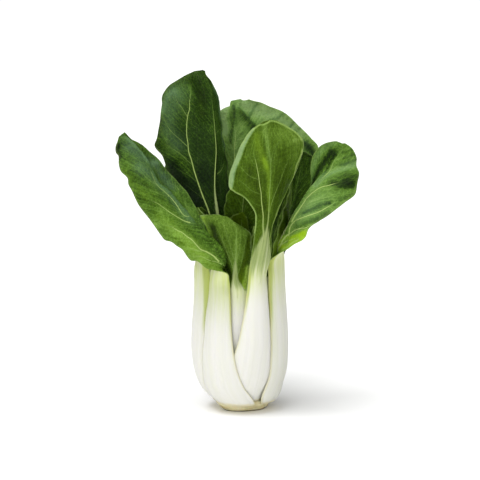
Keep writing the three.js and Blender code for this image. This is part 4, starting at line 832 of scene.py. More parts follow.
class Nodes:
    """short-hand for building one material's node tree"""

    def __init__(self, name):
        self.mat = bpy.data.materials.new(name)
        self.mat.use_nodes = True
        self.t = self.mat.node_tree
        self.t.nodes.clear()
        self.out = self.t.nodes.new('ShaderNodeOutputMaterial')

    def put(self, sock, v):
        if isinstance(v, bpy.types.NodeSocket):
            self.t.links.new(v, sock)
        elif v is not None:
            sock.default_value = v

    def attr(self, name, vector=False):
        n = self.t.nodes.new('ShaderNodeAttribute')
        n.attribute_name = name
        return n.outputs['Vector' if vector else 'Fac']

    def math(self, op, a, b=None, c=None, clamp=False):
        n = self.t.nodes.new('ShaderNodeMath')
        n.operation, n.use_clamp = op, clamp
        for k, v in enumerate((a, b, c)):
            self.put(n.inputs[k], v)
        return n.outputs[0]

    def mix(self, f, a, b, blend='MIX'):
        n = self.t.nodes.new('ShaderNodeMix')
        n.data_type, n.blend_type, n.clamp_factor = 'RGBA', blend, True
        self.put(n.inputs[0], f)
        self.put(n.inputs[6], a)
        self.put(n.inputs[7], b)
        return n.outputs[2]

    def range(self, v, a, b, c=0.0, d=1.0):
        n = self.t.nodes.new('ShaderNodeMapRange')
        n.interpolation_type = 'SMOOTHSTEP'
        for k, x in enumerate((v, a, b, c, d)):
            self.put(n.inputs[k], x)
        return n.outputs[0]

    def ramp(self, f, stops):
        n = self.t.nodes.new('ShaderNodeValToRGB')
        self.put(n.inputs[0], f)
        e = n.color_ramp.elements
        while len(e) < len(stops):
            e.new(0.5)
        for k, (p, c) in enumerate(stops):
            e[k].position, e[k].color = p, c
        return n.outputs[0]

    def scale(self, v, s):
        n = self.t.nodes.new('ShaderNodeVectorMath')
        n.operation = 'MULTIPLY'
        self.put(n.inputs[0], v)
        n.inputs[1].default_value = s
        return n.outputs[0]

    def noise(self, v, scale, detail=2.0, rough=0.5, warp=0.0):
        n = self.t.nodes.new('ShaderNodeTexNoise')
        self.put(n.inputs['Vector'], v)
        n.inputs['Scale'].default_value = scale
        n.inputs['Detail'].default_value = detail
        n.inputs['Roughness'].default_value = rough
        n.inputs['Distortion'].default_value = warp
        return n.outputs[0]

    def cells(self, v, scale, feature='DISTANCE_TO_EDGE'):
        n = self.t.nodes.new('ShaderNodeTexVoronoi')
        n.feature = feature
        self.put(n.inputs['Vector'], v)
        n.inputs['Scale'].default_value = scale
        return n.outputs['Distance']

    def bump(self, height, distance, strength=1.0, normal=None):
        n = self.t.nodes.new('ShaderNodeBump')
        n.inputs['Distance'].default_value = distance
        n.inputs['Strength'].default_value = strength
        self.put(n.inputs['Height'], height)
        if normal is not None:
            self.put(n.inputs['Normal'], normal)
        return n.outputs[0]

    def principled(self, color, rough, normal, **const):
        n = self.t.nodes.new('ShaderNodeBsdfPrincipled')
        self.put(n.inputs['Base Color'], color)
        self.put(n.inputs['Roughness'], rough)
        if normal is not None:
            self.put(n.inputs['Normal'], normal)
        for k, v in const.items():
            n.inputs[k.replace('_', ' ')].default_value = v
        self.t.links.new(n.outputs[0], self.out.inputs[0])
        return n


# greens of the lamina, dark to light, on its two faces
UPPER = [(0.0, srgb(9, 24, 1)), (0.25, srgb(34, 58, 6)), (0.5, srgb(76, 110, 30)),
         (0.75, srgb(112, 148, 60)), (1.0, srgb(150, 182, 98))]
UNDER = [(0.0, srgb(22, 38, 1)), (0.25, srgb(52, 76, 8)), (0.5, srgb(86, 116, 34)),
         (0.75, srgb(122, 152, 66)), (1.0, srgb(162, 188, 104))]
# yellow-green: partly the leaf's own colour, partly painted light shining through thin lamina; bluish grey-green: a
# painted sheen
LIME_AND_PAINTED_GLOW = srgb(146, 184, 20)
PAINTED_SHEEN_BLUE = srgb(96, 126, 104)
VEIN_UPPER = srgb(180, 202, 114)
VEIN_UNDER = srgb(166, 186, 104)
STALK_WHITE = srgb(224, 223, 217)
STALK_GREEN = srgb(196, 208, 124)
# olive rim: partly the thin margin's own green, partly painted shade of the grooves between stalks
STALK_RIM_AND_GROOVE_SHADE = srgb(168, 182, 82)
# tan edge: partly the edge's own colour, partly painted shade where the stalks overlap
STALK_EDGE_TAN_AND_SHADE = srgb(204, 198, 140)
NECK = srgb(152, 167, 106)


def leaf_material(name):
    n = Nodes(name)
    mm = n.attr('leaf_mm', True)          # x across, y along (mm), z the leaf's seed
    lamina, tone, warm = n.attr('lamina'), n.attr('tone'), n.attr('warm')
    vein, under, rim, tint = n.attr('vein'), n.attr('under'), n.attr('rim'), n.attr('tint')
    # lamina: drifting tone, fine net of veins, pucker
    drift = n.noise(mm, 0.045, 3.0, 0.55)
    fine = n.noise(mm, 0.42, 3.0, 0.6, 0.4)
    tone2 = n.math('ADD', tone, n.math('MULTIPLY', n.math('SUBTRACT', drift, 0.5), 0.26))
    tone2 = n.math('ADD', tone2, n.math('MULTIPLY', n.math('SUBTRACT', fine, 0.5), 0.26))
    # streaks and thin veinlets that run with the side veins
    flow = n.attr('flow_mm', True)
    streaks = n.noise(n.scale(flow, (0.50, 0.05, 1.0)), 1.0, 4.0, 0.62, 0.25)
    tone2 = n.math('ADD', tone2, n.math('MULTIPLY', n.math('SUBTRACT', streaks, 0.5), 0.50))
    part = n.t.nodes.new('ShaderNodeSeparateXYZ')
    n.put(part.inputs[0], flow)
    lane = n.math('ADD', n.math('MULTIPLY', part.outputs[0], 0.27), n.math('MULTIPLY', n.noise(mm, 0.11, 2.0, 0.5), 3.2))
    lane = n.math('ABSOLUTE', n.math('SUBTRACT', n.math('FRACT', lane), 0.5))
    lane = n.math('MULTIPLY', n.range(lane, 0.39, 0.5), n.range(drift, 0.36, 0.62))
    net = n.cells(mm, 0.36)
    net_line = n.range(net, 0.0, 0.09, 1.0, 0.0)
    mesh = n.cells(mm, 1.15)
    mesh_line = n.range(mesh, 0.0, 0.12, 1.0, 0.0)
    tone2 = n.math('ADD', tone2, n.math('MULTIPLY', lane, 0.16))
    tone2 = n.math('ADD', tone2, n.math('ADD', n.math('MULTIPLY', net_line, 0.12), n.math('MULTIPLY', mesh_line, 0.06)))
    green = n.mix(under, n.ramp(tone2, UPPER), n.ramp(tone2, UNDER))
    # high warmth is yellow-green, partly the leaf's own colour and partly painted light shining through thin lamina;
    # low warmth is a painted bluish sheen of the glossy face
    green = n.mix(n.range(warm, 0.5, 1.0, 0.0, 0.85), green, LIME_AND_PAINTED_GLOW)
    green = n.mix(n.range(warm, 0.0, 0.5, 0.55, 0.0), green, PAINTED_SHEEN_BLUE)
    # slight veins are a lighter shade of the leaf, strong ones have their own colour
    line = n.mix(n.range(vein, 0.25, 0.85), n.ramp(n.math('ADD', tone2, 0.42), UPPER), n.mix(under, VEIN_UPPER, VEIN_UNDER))
    green = n.mix(n.math('MULTIPLY', vein, 0.94), green, line)
    green = n.mix(n.math('MULTIPLY', rim, n.math('ADD', 0.12, n.math('MULTIPLY', under, 0.30))), green, srgb(160, 186, 110))
    # stalk: white, streaked along, greener up the neck and at its thin edges; the olive of those
    # edges is partly their own green and partly painted shade of the grooves between stalks
    streak = n.noise(n.scale(mm, (0.52, 0.014, 1.0)), 1.0, 3.0, 0.6)
    broad = n.noise(n.scale(mm, (0.28, 0.010, 1.0)), 1.0, 2.0, 0.5)
    lined = n.math('ADD', 0.05, n.math('MULTIPLY', tint, 1.5))
    grade = n.math('ADD', tint, n.math('MULTIPLY', n.math('SUBTRACT', streak, 0.5), lined))
    grade = n.math('ADD', grade, n.math('MULTIPLY', n.math('SUBTRACT', broad, 0.5), 0.24), clamp=True)
    white = n.mix(grade, STALK_WHITE, STALK_GREEN)
    # olive margins: partly own green, partly painted groove shade
    white = n.mix(n.math('MULTIPLY', n.attr('olive'), 0.80), white, STALK_RIM_AND_GROOVE_SHADE)
    # the foot, where it leaves the cut stem, is cream like the stem
    axes = n.t.nodes.new('ShaderNodeSeparateXYZ')
    n.put(axes.inputs[0], mm)
    low = n.math('ADD', axes.outputs[1], n.math('MULTIPLY', n.math('SUBTRACT', fine, 0.5), 6.0))
    white = n.mix(n.range(low, 0.8, 3.6, 0.85, 0.0), white, srgb(226, 218, 182))
    # tan at the thin edges: partly their own colour, partly painted shade where the stalks overlap
    white = n.mix(n.math('MULTIPLY', rim, 0.80), white, STALK_EDGE_TAN_AND_SHADE)
    # where the stalk thins into the lamina the flesh is yellow-green
    wide = n.math('MULTIPLY', n.math('SUBTRACT', streak, 0.5), n.range(lamina, 0.0, 0.3, 0.0, 0.85))
    wide = n.math('ADD', lamina, wide)
    color = n.mix(n.range(wide, 0.02, 0.42), white, NECK)
    color = n.mix(n.range(wide, 0.34, 0.92), color, green)
    is_green = n.range(lamina, 0.2, 0.8)
    # relief
    ribs = n.noise(n.scale(mm, (0.75, 0.012, 1.0)), 1.0, 2.0, 0.5)
    pucker = n.math('ADD', n.math('MULTIPLY', n.range(net, 0.0, 0.5), 0.55), n.math('MULTIPLY', fine, 0.6))
    pucker = n.math('ADD', pucker, n.math('MULTIPLY', n.range(mesh, 0.0, 0.4), 0.22))
    pucker = n.math('ADD', pucker, n.math('SUBTRACT', n.math('MULTIPLY', streaks, 0.9), n.math('MULTIPLY', lane, 0.25)))
    height = n.math('ADD', n.math('MULTIPLY', pucker, n.math('MULTIPLY', is_green, 0.38)),
                    n.math('MULTIPLY', ribs, n.math('SUBTRACT', 0.30, n.math('MULTIPLY', is_green, 0.30))))
    normal = n.bump(height, 0.0017, 0.95)
    rough = n.math('ADD', n.math('MULTIPLY', n.noise(mm, 0.2, 3.0, 0.6), 0.16),
                   n.math('ADD', 0.27, n.math('MULTIPLY', is_green, n.math('ADD', 0.07, n.math('MULTIPLY', under, 0.12)))))
    n.principled(color, rough, normal, Subsurface_Weight=0.06, Subsurface_Scale=0.003,
                 Subsurface_Radius=(1.0, 1.0, 0.3), Specular_IOR_Level=0.08, IOR=1.42)
    return n.mat


def stem_material():
    n = Nodes('cut_stem')
    c = n.t.nodes.new('ShaderNodeTexCoord').outputs['Object']
    scar, cut = n.attr('scar'), n.attr('cut')
    big = n.noise(c, 120.0, 4.0, 0.6, 0.6)
    fib = n.noise(n.scale(c, (1.0, 1.0, 0.22)), 900.0, 3.0, 0.65)
    col = n.mix(n.range(big, 0.35, 0.7), srgb(235, 229, 194), srgb(221, 212, 164))
    col = n.mix(n.math('MULTIPLY', n.range(fib, 0.45, 0.75), 0.35), col, srgb(214, 205, 156))
    col = n.mix(n.math('MULTIPLY', scar, n.range(fib, 0.2, 0.65, 0.55, 1.0)), col, srgb(184, 168, 112))
    ringed = n.noise(c, 260.0, 3.0, 0.6, 1.2)
    face = n.mix(n.range(ringed, 0.35, 0.68), srgb(236, 232, 206), srgb(206, 196, 150))
    col = n.mix(cut, col, face)
    h = n.math('ADD', n.math('MULTIPLY', big, 0.7), n.math('MULTIPLY', fib, 0.35))
    normal = n.bump(h, 0.0007, 0.9)
    n.principled(col, n.math('ADD', 0.45, n.math('MULTIPLY', big, 0.2)), normal,
                 Subsurface_Weight=0.10, Subsurface_Scale=0.003, Specular_IOR_Level=0.3)
    return n.mat


def floor_material():
    n = Nodes('studio_floor')
    c = n.t.nodes.new('ShaderNodeTexCoord').outputs['Object']
    grain = n.noise(c, 40.0, 3.0, 0.5)
    col = n.mix(grain, (0.945, 0.945, 0.945, 1), (0.955, 0.955, 0.955, 1))
    n.principled(col, 0.9, None, Specular_IOR_Level=0.0)
    return n.mat

SEEN_FROM_OUTSIDE = ('leaf_front_right', 'leaf_front_small')


# ---- building the leaves -----------------------------------------------------
def add_mesh(name, pos_mm, quads, attrs, vectors, mat, tris=None):
    me = bpy.data.meshes.new(name)
    n, q = len(pos_mm), len(quads)
    k = 0 if tris is None else len(tris)
    me.vertices.add(n)
    me.vertices.foreach_set('co', (np.asarray(pos_mm, np.float32) / 1000).ravel())
    me.loops.add(q * 4 + k * 3)
    idx = np.asarray(quads, np.int32).ravel()
    if k:
        idx = np.concatenate([idx, np.asarray(tris, np.int32).ravel()])
    me.loops.foreach_set('vertex_index', idx)
    me.polygons.add(q + k)
    start = np.arange(q, dtype=np.int32) * 4
    if k:
        start = np.concatenate([start, q * 4 + np.arange(k, dtype=np.int32) * 3])
    me.polygons.foreach_set('loop_start', start)
    me.update(calc_edges=True)
    me.validate()
    me.polygons.foreach_set('use_smooth', np.ones(len(me.polygons), bool))
    for a, v in attrs.items():
        me.attributes.new(a, 'FLOAT', 'POINT').data.foreach_set('value', np.asarray(v, np.float32).ravel())
    for a, v in vectors.items():
        me.attributes.new(a, 'FLOAT_VECTOR', 'POINT').data.foreach_set('vector', np.asarray(v, np.float32).ravel())
    me.materials.append(mat)
    ob = bpy.data.objects.new(name, me)
    bpy.context.scene.collection.objects.link(ob)
    return ob


def columns(n):
    """column parameters -1..1, a little closer at the midrib and the margins"""
    u = np.linspace(-1, 1, n)
    return u - 0.055 * np.sin(2 * math.pi * u)


def leaf_parts(lf, index):
    name = lf['name']
    look = LOOKS[name]
    inner, heart = name.startswith('inner'), name.startswith('heart')
    if heart:
        ns, nb, nt = 26, 18, 33
    elif inner:
        ns, nb, nt = 36, 52, 49
    else:
        ns, nb, nt = 42, 140, 97
    s = np.concatenate([np.linspace(0, 1, ns)[:-1], 1 + np.linspace(0, 1, nb) ** 0.98])
    t = columns(nt)
    P, h, zi, half_l, half_r = base_sheet(lf, s, t)
    N0 = normal_field(P, s, t)
    # inward direction: towards the head's axis in the stalk, the sheet's normal in the blade
    rad = unit(np.stack([axis_x(zi) - P[..., 0], -P[..., 1], np.zeros_like(zi)], -1))
    wi = smooth(0.85, 1.15, s)[:, None, None]
    face_in = unit(rad * (1 - wi) + N0 * wi)
    S, T = np.broadcast_arrays(s[:, None], t[None, :])
    # leaf coordinates in mm
    mid = np.argmin(np.abs(t))
    along = np.concatenate([[0], np.cumsum(np.linalg.norm(np.diff(P[:, mid], axis=0), axis=1))])
    Y = np.broadcast_to(along[:, None], S.shape)
    step = np.linalg.norm(np.diff(P, axis=1), axis=2)
    X = np.concatenate([np.zeros((len(s), 1)), np.cumsum(step, axis=1)], axis=1)
    X = X - X[:, mid:mid + 1]
    blade_len = along[-1] - along[ns - 1]
    blade = smooth(1.0, look.get('calm', 1.12), S)

    # ---- veins
    rng = np.random.RandomState(100 + index)
    drawn = VEINS.get(name, [])
    count = 0 if heart else (5 if inner else 8)
    raw = list(drawn)
    for side in (-1, 1):
        if not any(side * v[1][-1][1] > 0 for v in drawn):
            raw += pinnate(lf, 300 + 7 * index + side, count, side)
    mains = []
    for width, pts in raw:
        q, run = resample(pts, P, s, t, 1.6)
        if run > 6:
            mains.append((width, q))
    rib_s = np.linspace(0.94, 1.97, 30)
    rib_line = RIBS.get(name, np.stack([rib_s, np.zeros(30)], 1))
    rib, _ = resample(rib_line, P, s, t, 1.6)
    rib_w, rib_end = look['rib']
    lines = [(rib_w, rib)] + mains
    cloud = np.concatenate([bilinear(P, s, t, q[:, 0], q[:, 1]) for _, q in lines])
    dist = distance_to(cloud, P)
    small = [] if heart else twigs(lines, P, s, t, dist, 500 + index, 8.0, 15.0)

    # ---- relief of the sheet (towards the upper face)
    puff = 1 - np.exp(-(dist / 4.2) ** 2)
    broad = 1 - np.exp(-(dist / 10.0) ** 2)
    margin_mm = np.minimum(half_l[:, None], half_r[:, None]) * (1 - np.abs(T))
    near_tip = (2 - S) * blade_len
    margin_mm = np.minimum(margin_mm, near_tip + 2)
    hold = smooth(0.0, 5.0, margin_mm)
    relief = look['pucker'] * (0.55 * puff + 0.45 * broad) * (0.35 + 0.65 * hold)
    relief = relief + 0.35 * look['pucker'] * wobble(X, Y, 40 + index, 13.0) * puff
    relief = relief + 0.50 * look['pucker'] * wobble(X, Y, 60 + index, 34.0)
    amp, length = look['wave']
    rip = np.sin(2 * math.pi * Y / length + 1.3 * wobble(Y, X * 0, 80 + index, 41.0) + np.where(T < 0, 1.0, 3.4))
    relief = relief + amp * smooth(9.0, 0.0, margin_mm) * rip * smooth(1.02, 1.25, S)
    for cs, ct, rs, rt, d in look.get('folds', []):
        relief = relief + d * np.exp(-((S - cs) / rs) ** 2 - ((T - ct) / rt) ** 2)
    # ridges that run with the side veins, or fan out with the ribs
    if look.get('flow') == 'fan':
        F, G = T * 34.0, Y
    else:
        F, G = (S - 1) * blade_len - 0.26 * blade_len * np.abs(T) ** 0.85, np.abs(T) * half_l.mean()
    ridge = np.sin(2 * math.pi * (F / 5.4 + 0.9 * wobble(X, Y, 110 + index, 26.0)))
    relief = relief + look.get('quilt', 0.16) * ridge * puff * hold * smooth(-1.0, 0.6, wobble(X, Y, 130 + index, 17.0))
    relief = relief + 0.10 * wobble(X, Y, 150 + index, 4.6) * puff
    painted_light_and_tone, painted_sheen_and_hue, dvein = np.zeros(S.shape), np.zeros(S.shape), np.zeros(S.shape)
    # each band adds relief and paints shade, light, sheen and light shining through into the tone and warmth
    for width, rise, band_light_and_tone, band_sheen_and_hue, more_vein, line in BANDS.get(name, []):
        q, _ = resample(line, P, s, t, 1.2)
        # a negative width stands for a band with firm edges
        far = distance_to(bilinear(P, s, t, q[:, 0], q[:, 1]), P) / abs(width)
        g = np.exp(-far ** (2 if width > 0 else 5))
        relief = relief + rise * g
        painted_light_and_tone, painted_sheen_and_hue, dvein = painted_light_and_tone + band_light_and_tone * g, painted_sheen_and_hue + band_sheen_and_hue * g, np.maximum(dvein, more_vein * g)
    relief = relief * blade
    Q = P + N0 * relief[..., None]
    if 'roll' in look:
        Q = roll_margin(Q, s, t, h, **look['roll'])
    N = normal_field(Q, s, t)
    face_in = unit(face_in * (1 - wi) + N * wi)
    # soft ribs down the back of the stalk
    ribs = 0.16 * wobble(X * 1.0, Y * 0.02, 20 + index, 5.5) * smooth(1.08, 0.7, S) * (1 - np.abs(T) ** 6)
    outer = Q + face_in * (-ribs)[..., None]
    inward = Q + face_in * h[..., None]

    # ---- masks
    half = np.where(T < 0, half_l[:, None], half_r[:, None])
    across = np.abs(T) * half
    up = np.clip(S - 1, 0, 1)
    lam = []
    for k, (amp, fall, *power) in enumerate((look.get('core_under', (10.0, 0.12)), look.get('core_upper', (6.0, 0.10)))):
        start = look.get('green_from', 1.0) if k else look.get('under_from', look.get('green_from', 1.0))
        if not k:
            start = start + (look.get('under_left', start) - start) * smooth(-0.2, -0.7, T)
        edge_green = smooth(0.93, 1.0, np.abs(T)) * smooth(start - 0.20, start, S) * 0.9
        white_half = (amp * np.exp(-(up / fall) ** (power[0] if power else 1.3)) + look.get('core_tail', 0.6) * 1.4 * np.exp(-up / 0.30)
                      + 30 * smooth(start, start - look.get('green_run', 0.14), S) - 2.5 * smooth(*look.get('core_end', (1.3, 1.6)), S))
        lam.append(np.maximum(smooth(*look.get('core_soft', (-2.2, 3.0)), across - white_half),
                              np.maximum(edge_green, look.get('neck', 0.34) * smooth(*look.get('neck_from', (start - 0.04, start + 0.14)), S))))
    tint = 0.03 + 0.69 * smooth(*look.get('tint_from', (0.47, 1.04)), S) ** 1.65 + 0.18 * smooth(0.7, 1.0, np.abs(T)) * smooth(0.15, 0.6, S)
    tint = tint + look.get('tint', 0.0) + look.get('foot', 0.0) * smooth(0.62, 0.30, S)
    rim = look.get('rim', 1.0) * smooth(1.15, 0.25, margin_mm) * smooth(1.0, 1.1, S) + 0.5 * smooth(1.3, 0.2, margin_mm) * smooth(1.0, 0.9, S)
    # thin olive margins of the stalk, partly their own green and partly painted shade of the grooves between stalks:
    # side, from t, height where they start
    olive = np.zeros(S.shape)
    for side, t_low, t_top, s0, s1 in look.get('olive', [(-1, 0.9, 0.84, 0.45, 0.8), (1, 0.9, 0.84, 0.45, 0.8)]):
        from_t = np.interp(S, [0.5, 1.0], [t_low, t_top])
        olive = np.maximum(olive, smooth(from_t - 0.04, from_t + 0.09, side * T) * smooth(s0, s1, S))
    tone = np.full(S.shape, look['tone'])
    warm = np.full(S.shape, look['warm'])
    for cs, ct, rs, rt, dt, dw in look['patches']:
        g = np.exp(-((S - cs) / rs) ** 2 - ((T - ct) / rt) ** 2)
        tone, warm = tone + dt * g, warm + dw * g
    tone = tone + 0.05 * np.exp(-(dist / 2.0) ** 2)
    warm = warm + 0.10 * smooth(1.35, 1.0, S)
    vein = 0.06 * np.exp(-(dist / 1.2) ** 2) * smooth(1.0, 1.1, S)
    # the bands' painted shade, light and sheen show on one face and only faintly on the other
    seen = (1.0, 0.3) if name in SEEN_FROM_OUTSIDE else (0.3, 1.0)
    faces = [dict(tone=tone + k * painted_light_and_tone, warm=warm + k * painted_sheen_and_hue, vein=np.maximum(vein, k * dvein)) for k in seen]
    seed = np.full(S.shape, 53.0 * (index + 1))
    grids = dict(lamina=lam[0], olive=olive, tone=tone, warm=warm, rim=rim, tint=tint, vein=vein)
    LM = np.stack([X, Y, seed], -1)
    FM = np.stack([F, G, seed], -1)

    # ---- closed sheet
    ni, nj = S.shape
    pos, quads, att, vec, flow = [], [], {k: [] for k in list(grids) + ['under']}, [], []
    base = 0

    def put(points, faces, values, coords, along_flow):
        nonlocal base
        pos.append(points)
        quads.append(faces + base)
        for k in att:
            att[k].append(values[k])
        vec.append(coords)
        flow.append(along_flow)
        base += len(points)

    i, j = np.meshgrid(np.arange(ni - 1), np.arange(nj - 1), indexing='ij')
    o = (i * nj + j).ravel()
    m = ni * nj
    shell = [np.stack([o, o + 1, o + nj + 1, o + nj], 1), np.stack([o, o + nj, o + nj + 1, o + 1], 1) + m]
    ring_o = np.concatenate([np.arange(ni) * nj, (ni - 1) * nj + np.arange(1, nj),
                             (np.arange(ni - 2, -1, -1)) * nj + nj - 1, np.arange(nj - 2, 0, -1)])
    edge_mid = 0.5 * (outer.reshape(-1, 3)[ring_o] + inward.reshape(-1, 3)[ring_o])
    # the margin is rounded: its middle stands out a little
    centre_s = np.concatenate([np.arange(ni), np.full(nj - 1, ni - 1), np.arange(ni - 2, -1, -1), np.zeros(nj - 2, int)])
    lateral = np.zeros_like(edge_mid)
    lateral[:ni] = unit(Q[:, 0] - Q[:, 1])
    lateral[ni:ni + nj - 1] = unit(Q[-1, 1:] - Q[-2, 1:])
    lateral[ni + nj - 1:2 * ni + nj - 2] = unit(Q[:, -1] - Q[:, -2])[::-1][1:]
    hh = h.reshape(-1)[ring_o]
    edge_mid = edge_mid + lateral * (0.3 * hh * smooth(0.0, 0.05, S.reshape(-1)[ring_o]))[:, None]
    k = np.arange(len(ring_o))
    k2 = np.roll(k, -1)
    e = 2 * m + k
    e2 = 2 * m + k2
    shell.append(np.stack([ring_o, ring_o[k2], e2, e], 1))
    shell.append(np.stack([e, e2, ring_o[k2] + m, ring_o + m], 1))
    values = {a: np.concatenate([g.ravel(), g.ravel(), g.ravel()[ring_o]]) for a, g in grids.items()}
    values['under'] = np.concatenate([np.ones(m), np.zeros(m), np.full(len(ring_o), 0.5)])
    values['lamina'] = np.concatenate([lam[0].ravel(), lam[1].ravel(), lam[0 if seen[0] == 1 else 1].ravel()[ring_o]])
    front = 0 if seen[0] == 1 else 1
    for a in ('tone', 'warm', 'vein'):
        values[a] = np.concatenate([faces[0][a].ravel(), faces[1][a].ravel(), faces[front][a].ravel()[ring_o]])
    put(np.concatenate([outer.reshape(-1, 3), inward.reshape(-1, 3), edge_mid]), np.concatenate(shell), values,
        *(np.concatenate([V.reshape(-1, 3), V.reshape(-1, 3), V.reshape(-1, 3)[ring_o]]) for V in (LM, FM)))

    # ---- raised veins on both faces
    Nout, Nin = -normal_field(outer, s, t), normal_field(inward, s, t)
    for face, nrm, below in ((outer, Nout, 1.0), (inward, Nin, 0.0)):
        g = dict(grids, under=np.full(S.shape, below), lamina=lam[0] if below else lam[1], **faces[0 if below else 1])
        lift = 0.42 if below else 0.16
        if below and name not in SEEN_FROM_OUTSIDE and not heart:
            # the back of a leaf carries on the broad pale rib of its stalk
            broad_rib, fade_rib = look.get('under_rib', (5.2, [(1.0, 1.0), (1.9, 0.8)]))
            jobs = [(broad_rib, rib, (1.0, 0.16), 0.9, False, fade_rib)]
            heavy = 1.35
        else:
            jobs = [(rib_w * (1.15 if below else 1.0), rib, (1.0, rib_end / rib_w), look.get('rib_strength', 0.85), False,
                     look.get('rib_gain'))]
            heavy = 1.0 if below else 0.9
        jobs += [(w * heavy, q, (1.0, 0.34), look.get('vein_gain', 1.0) * min(0.38 + 0.48 * (w - 0.7), 0.95), False, None)
                 for w, q in mains]
        jobs += [(w, q, (1.0, 0.5), 0.16, True, None) for w, q in small]
        for w, q, ends, strength, fine, gain in jobs:
            a, b, v = ribbon(face, nrm, dict(g, x=X, y=Y, f=F, g=G), s, t, q, w,
                             lift * (0.30 if fine else min(1, 0.35 + 0.25 * w)), strength, ends, fine, gain)
            own = np.full(len(a), 53.0 * (index + 1))
            put(a, b, v, np.stack([v['x'], v['y'], own], 1), np.stack([v['f'], v['g'], own], 1))
    return (np.concatenate(pos), np.concatenate(quads), {a: np.concatenate(v) for a, v in att.items()},
            {'leaf_mm': np.concatenate(vec), 'flow_mm': np.concatenate(flow)})


def roll_margin(Q, s, t, h, side, start, lo, hi, radius, flap):
    """rolls a margin over towards the back of the leaf between rows lo and hi"""
    out = Q.copy()
    N = normal_field(Q, s, t)
    cols = np.where(t < start)[0] if side < 0 else np.where(t > -start)[0][::-1]
    first = cols[-1] + 1 if side < 0 else cols[-1] - 1
    amount = smooth(lo, lo + 0.10, s) * smooth(hi, hi - 0.10, s)
    for i in range(len(s)):
        if amount[i] < 1e-3:
            continue
        a, n = Q[i, first], N[i, first]
        edge = Q[i, cols[0]]
        lat = unit(edge - a)
        width = np.linalg.norm(edge - a)
        k = np.abs(t[cols] - t[first]) / abs(t[cols[0]] - t[first])
        r = radius
        total = (width - r) + math.pi * r + flap
        u = k * total
        x = np.where(u < width - r, u, np.where(u < width - r + math.pi * r,
                     width - r + r * np.sin((u - (width - r)) / r), (width - r) - (u - (width - r) - math.pi * r)))
        d = np.where(u < width - r, 0, np.where(u < width - r + math.pi * r,
                     r * (1 - np.cos((u - (width - r)) / r)), 2 * r))
        d = d + np.maximum(u - (width - r) - math.pi * r, 0) * -0.12
        new = a + lat * x[:, None] - n * d[:, None]
        out[i, cols] = out[i, cols] * (1 - amount[i]) + new * amount[i]
    return out


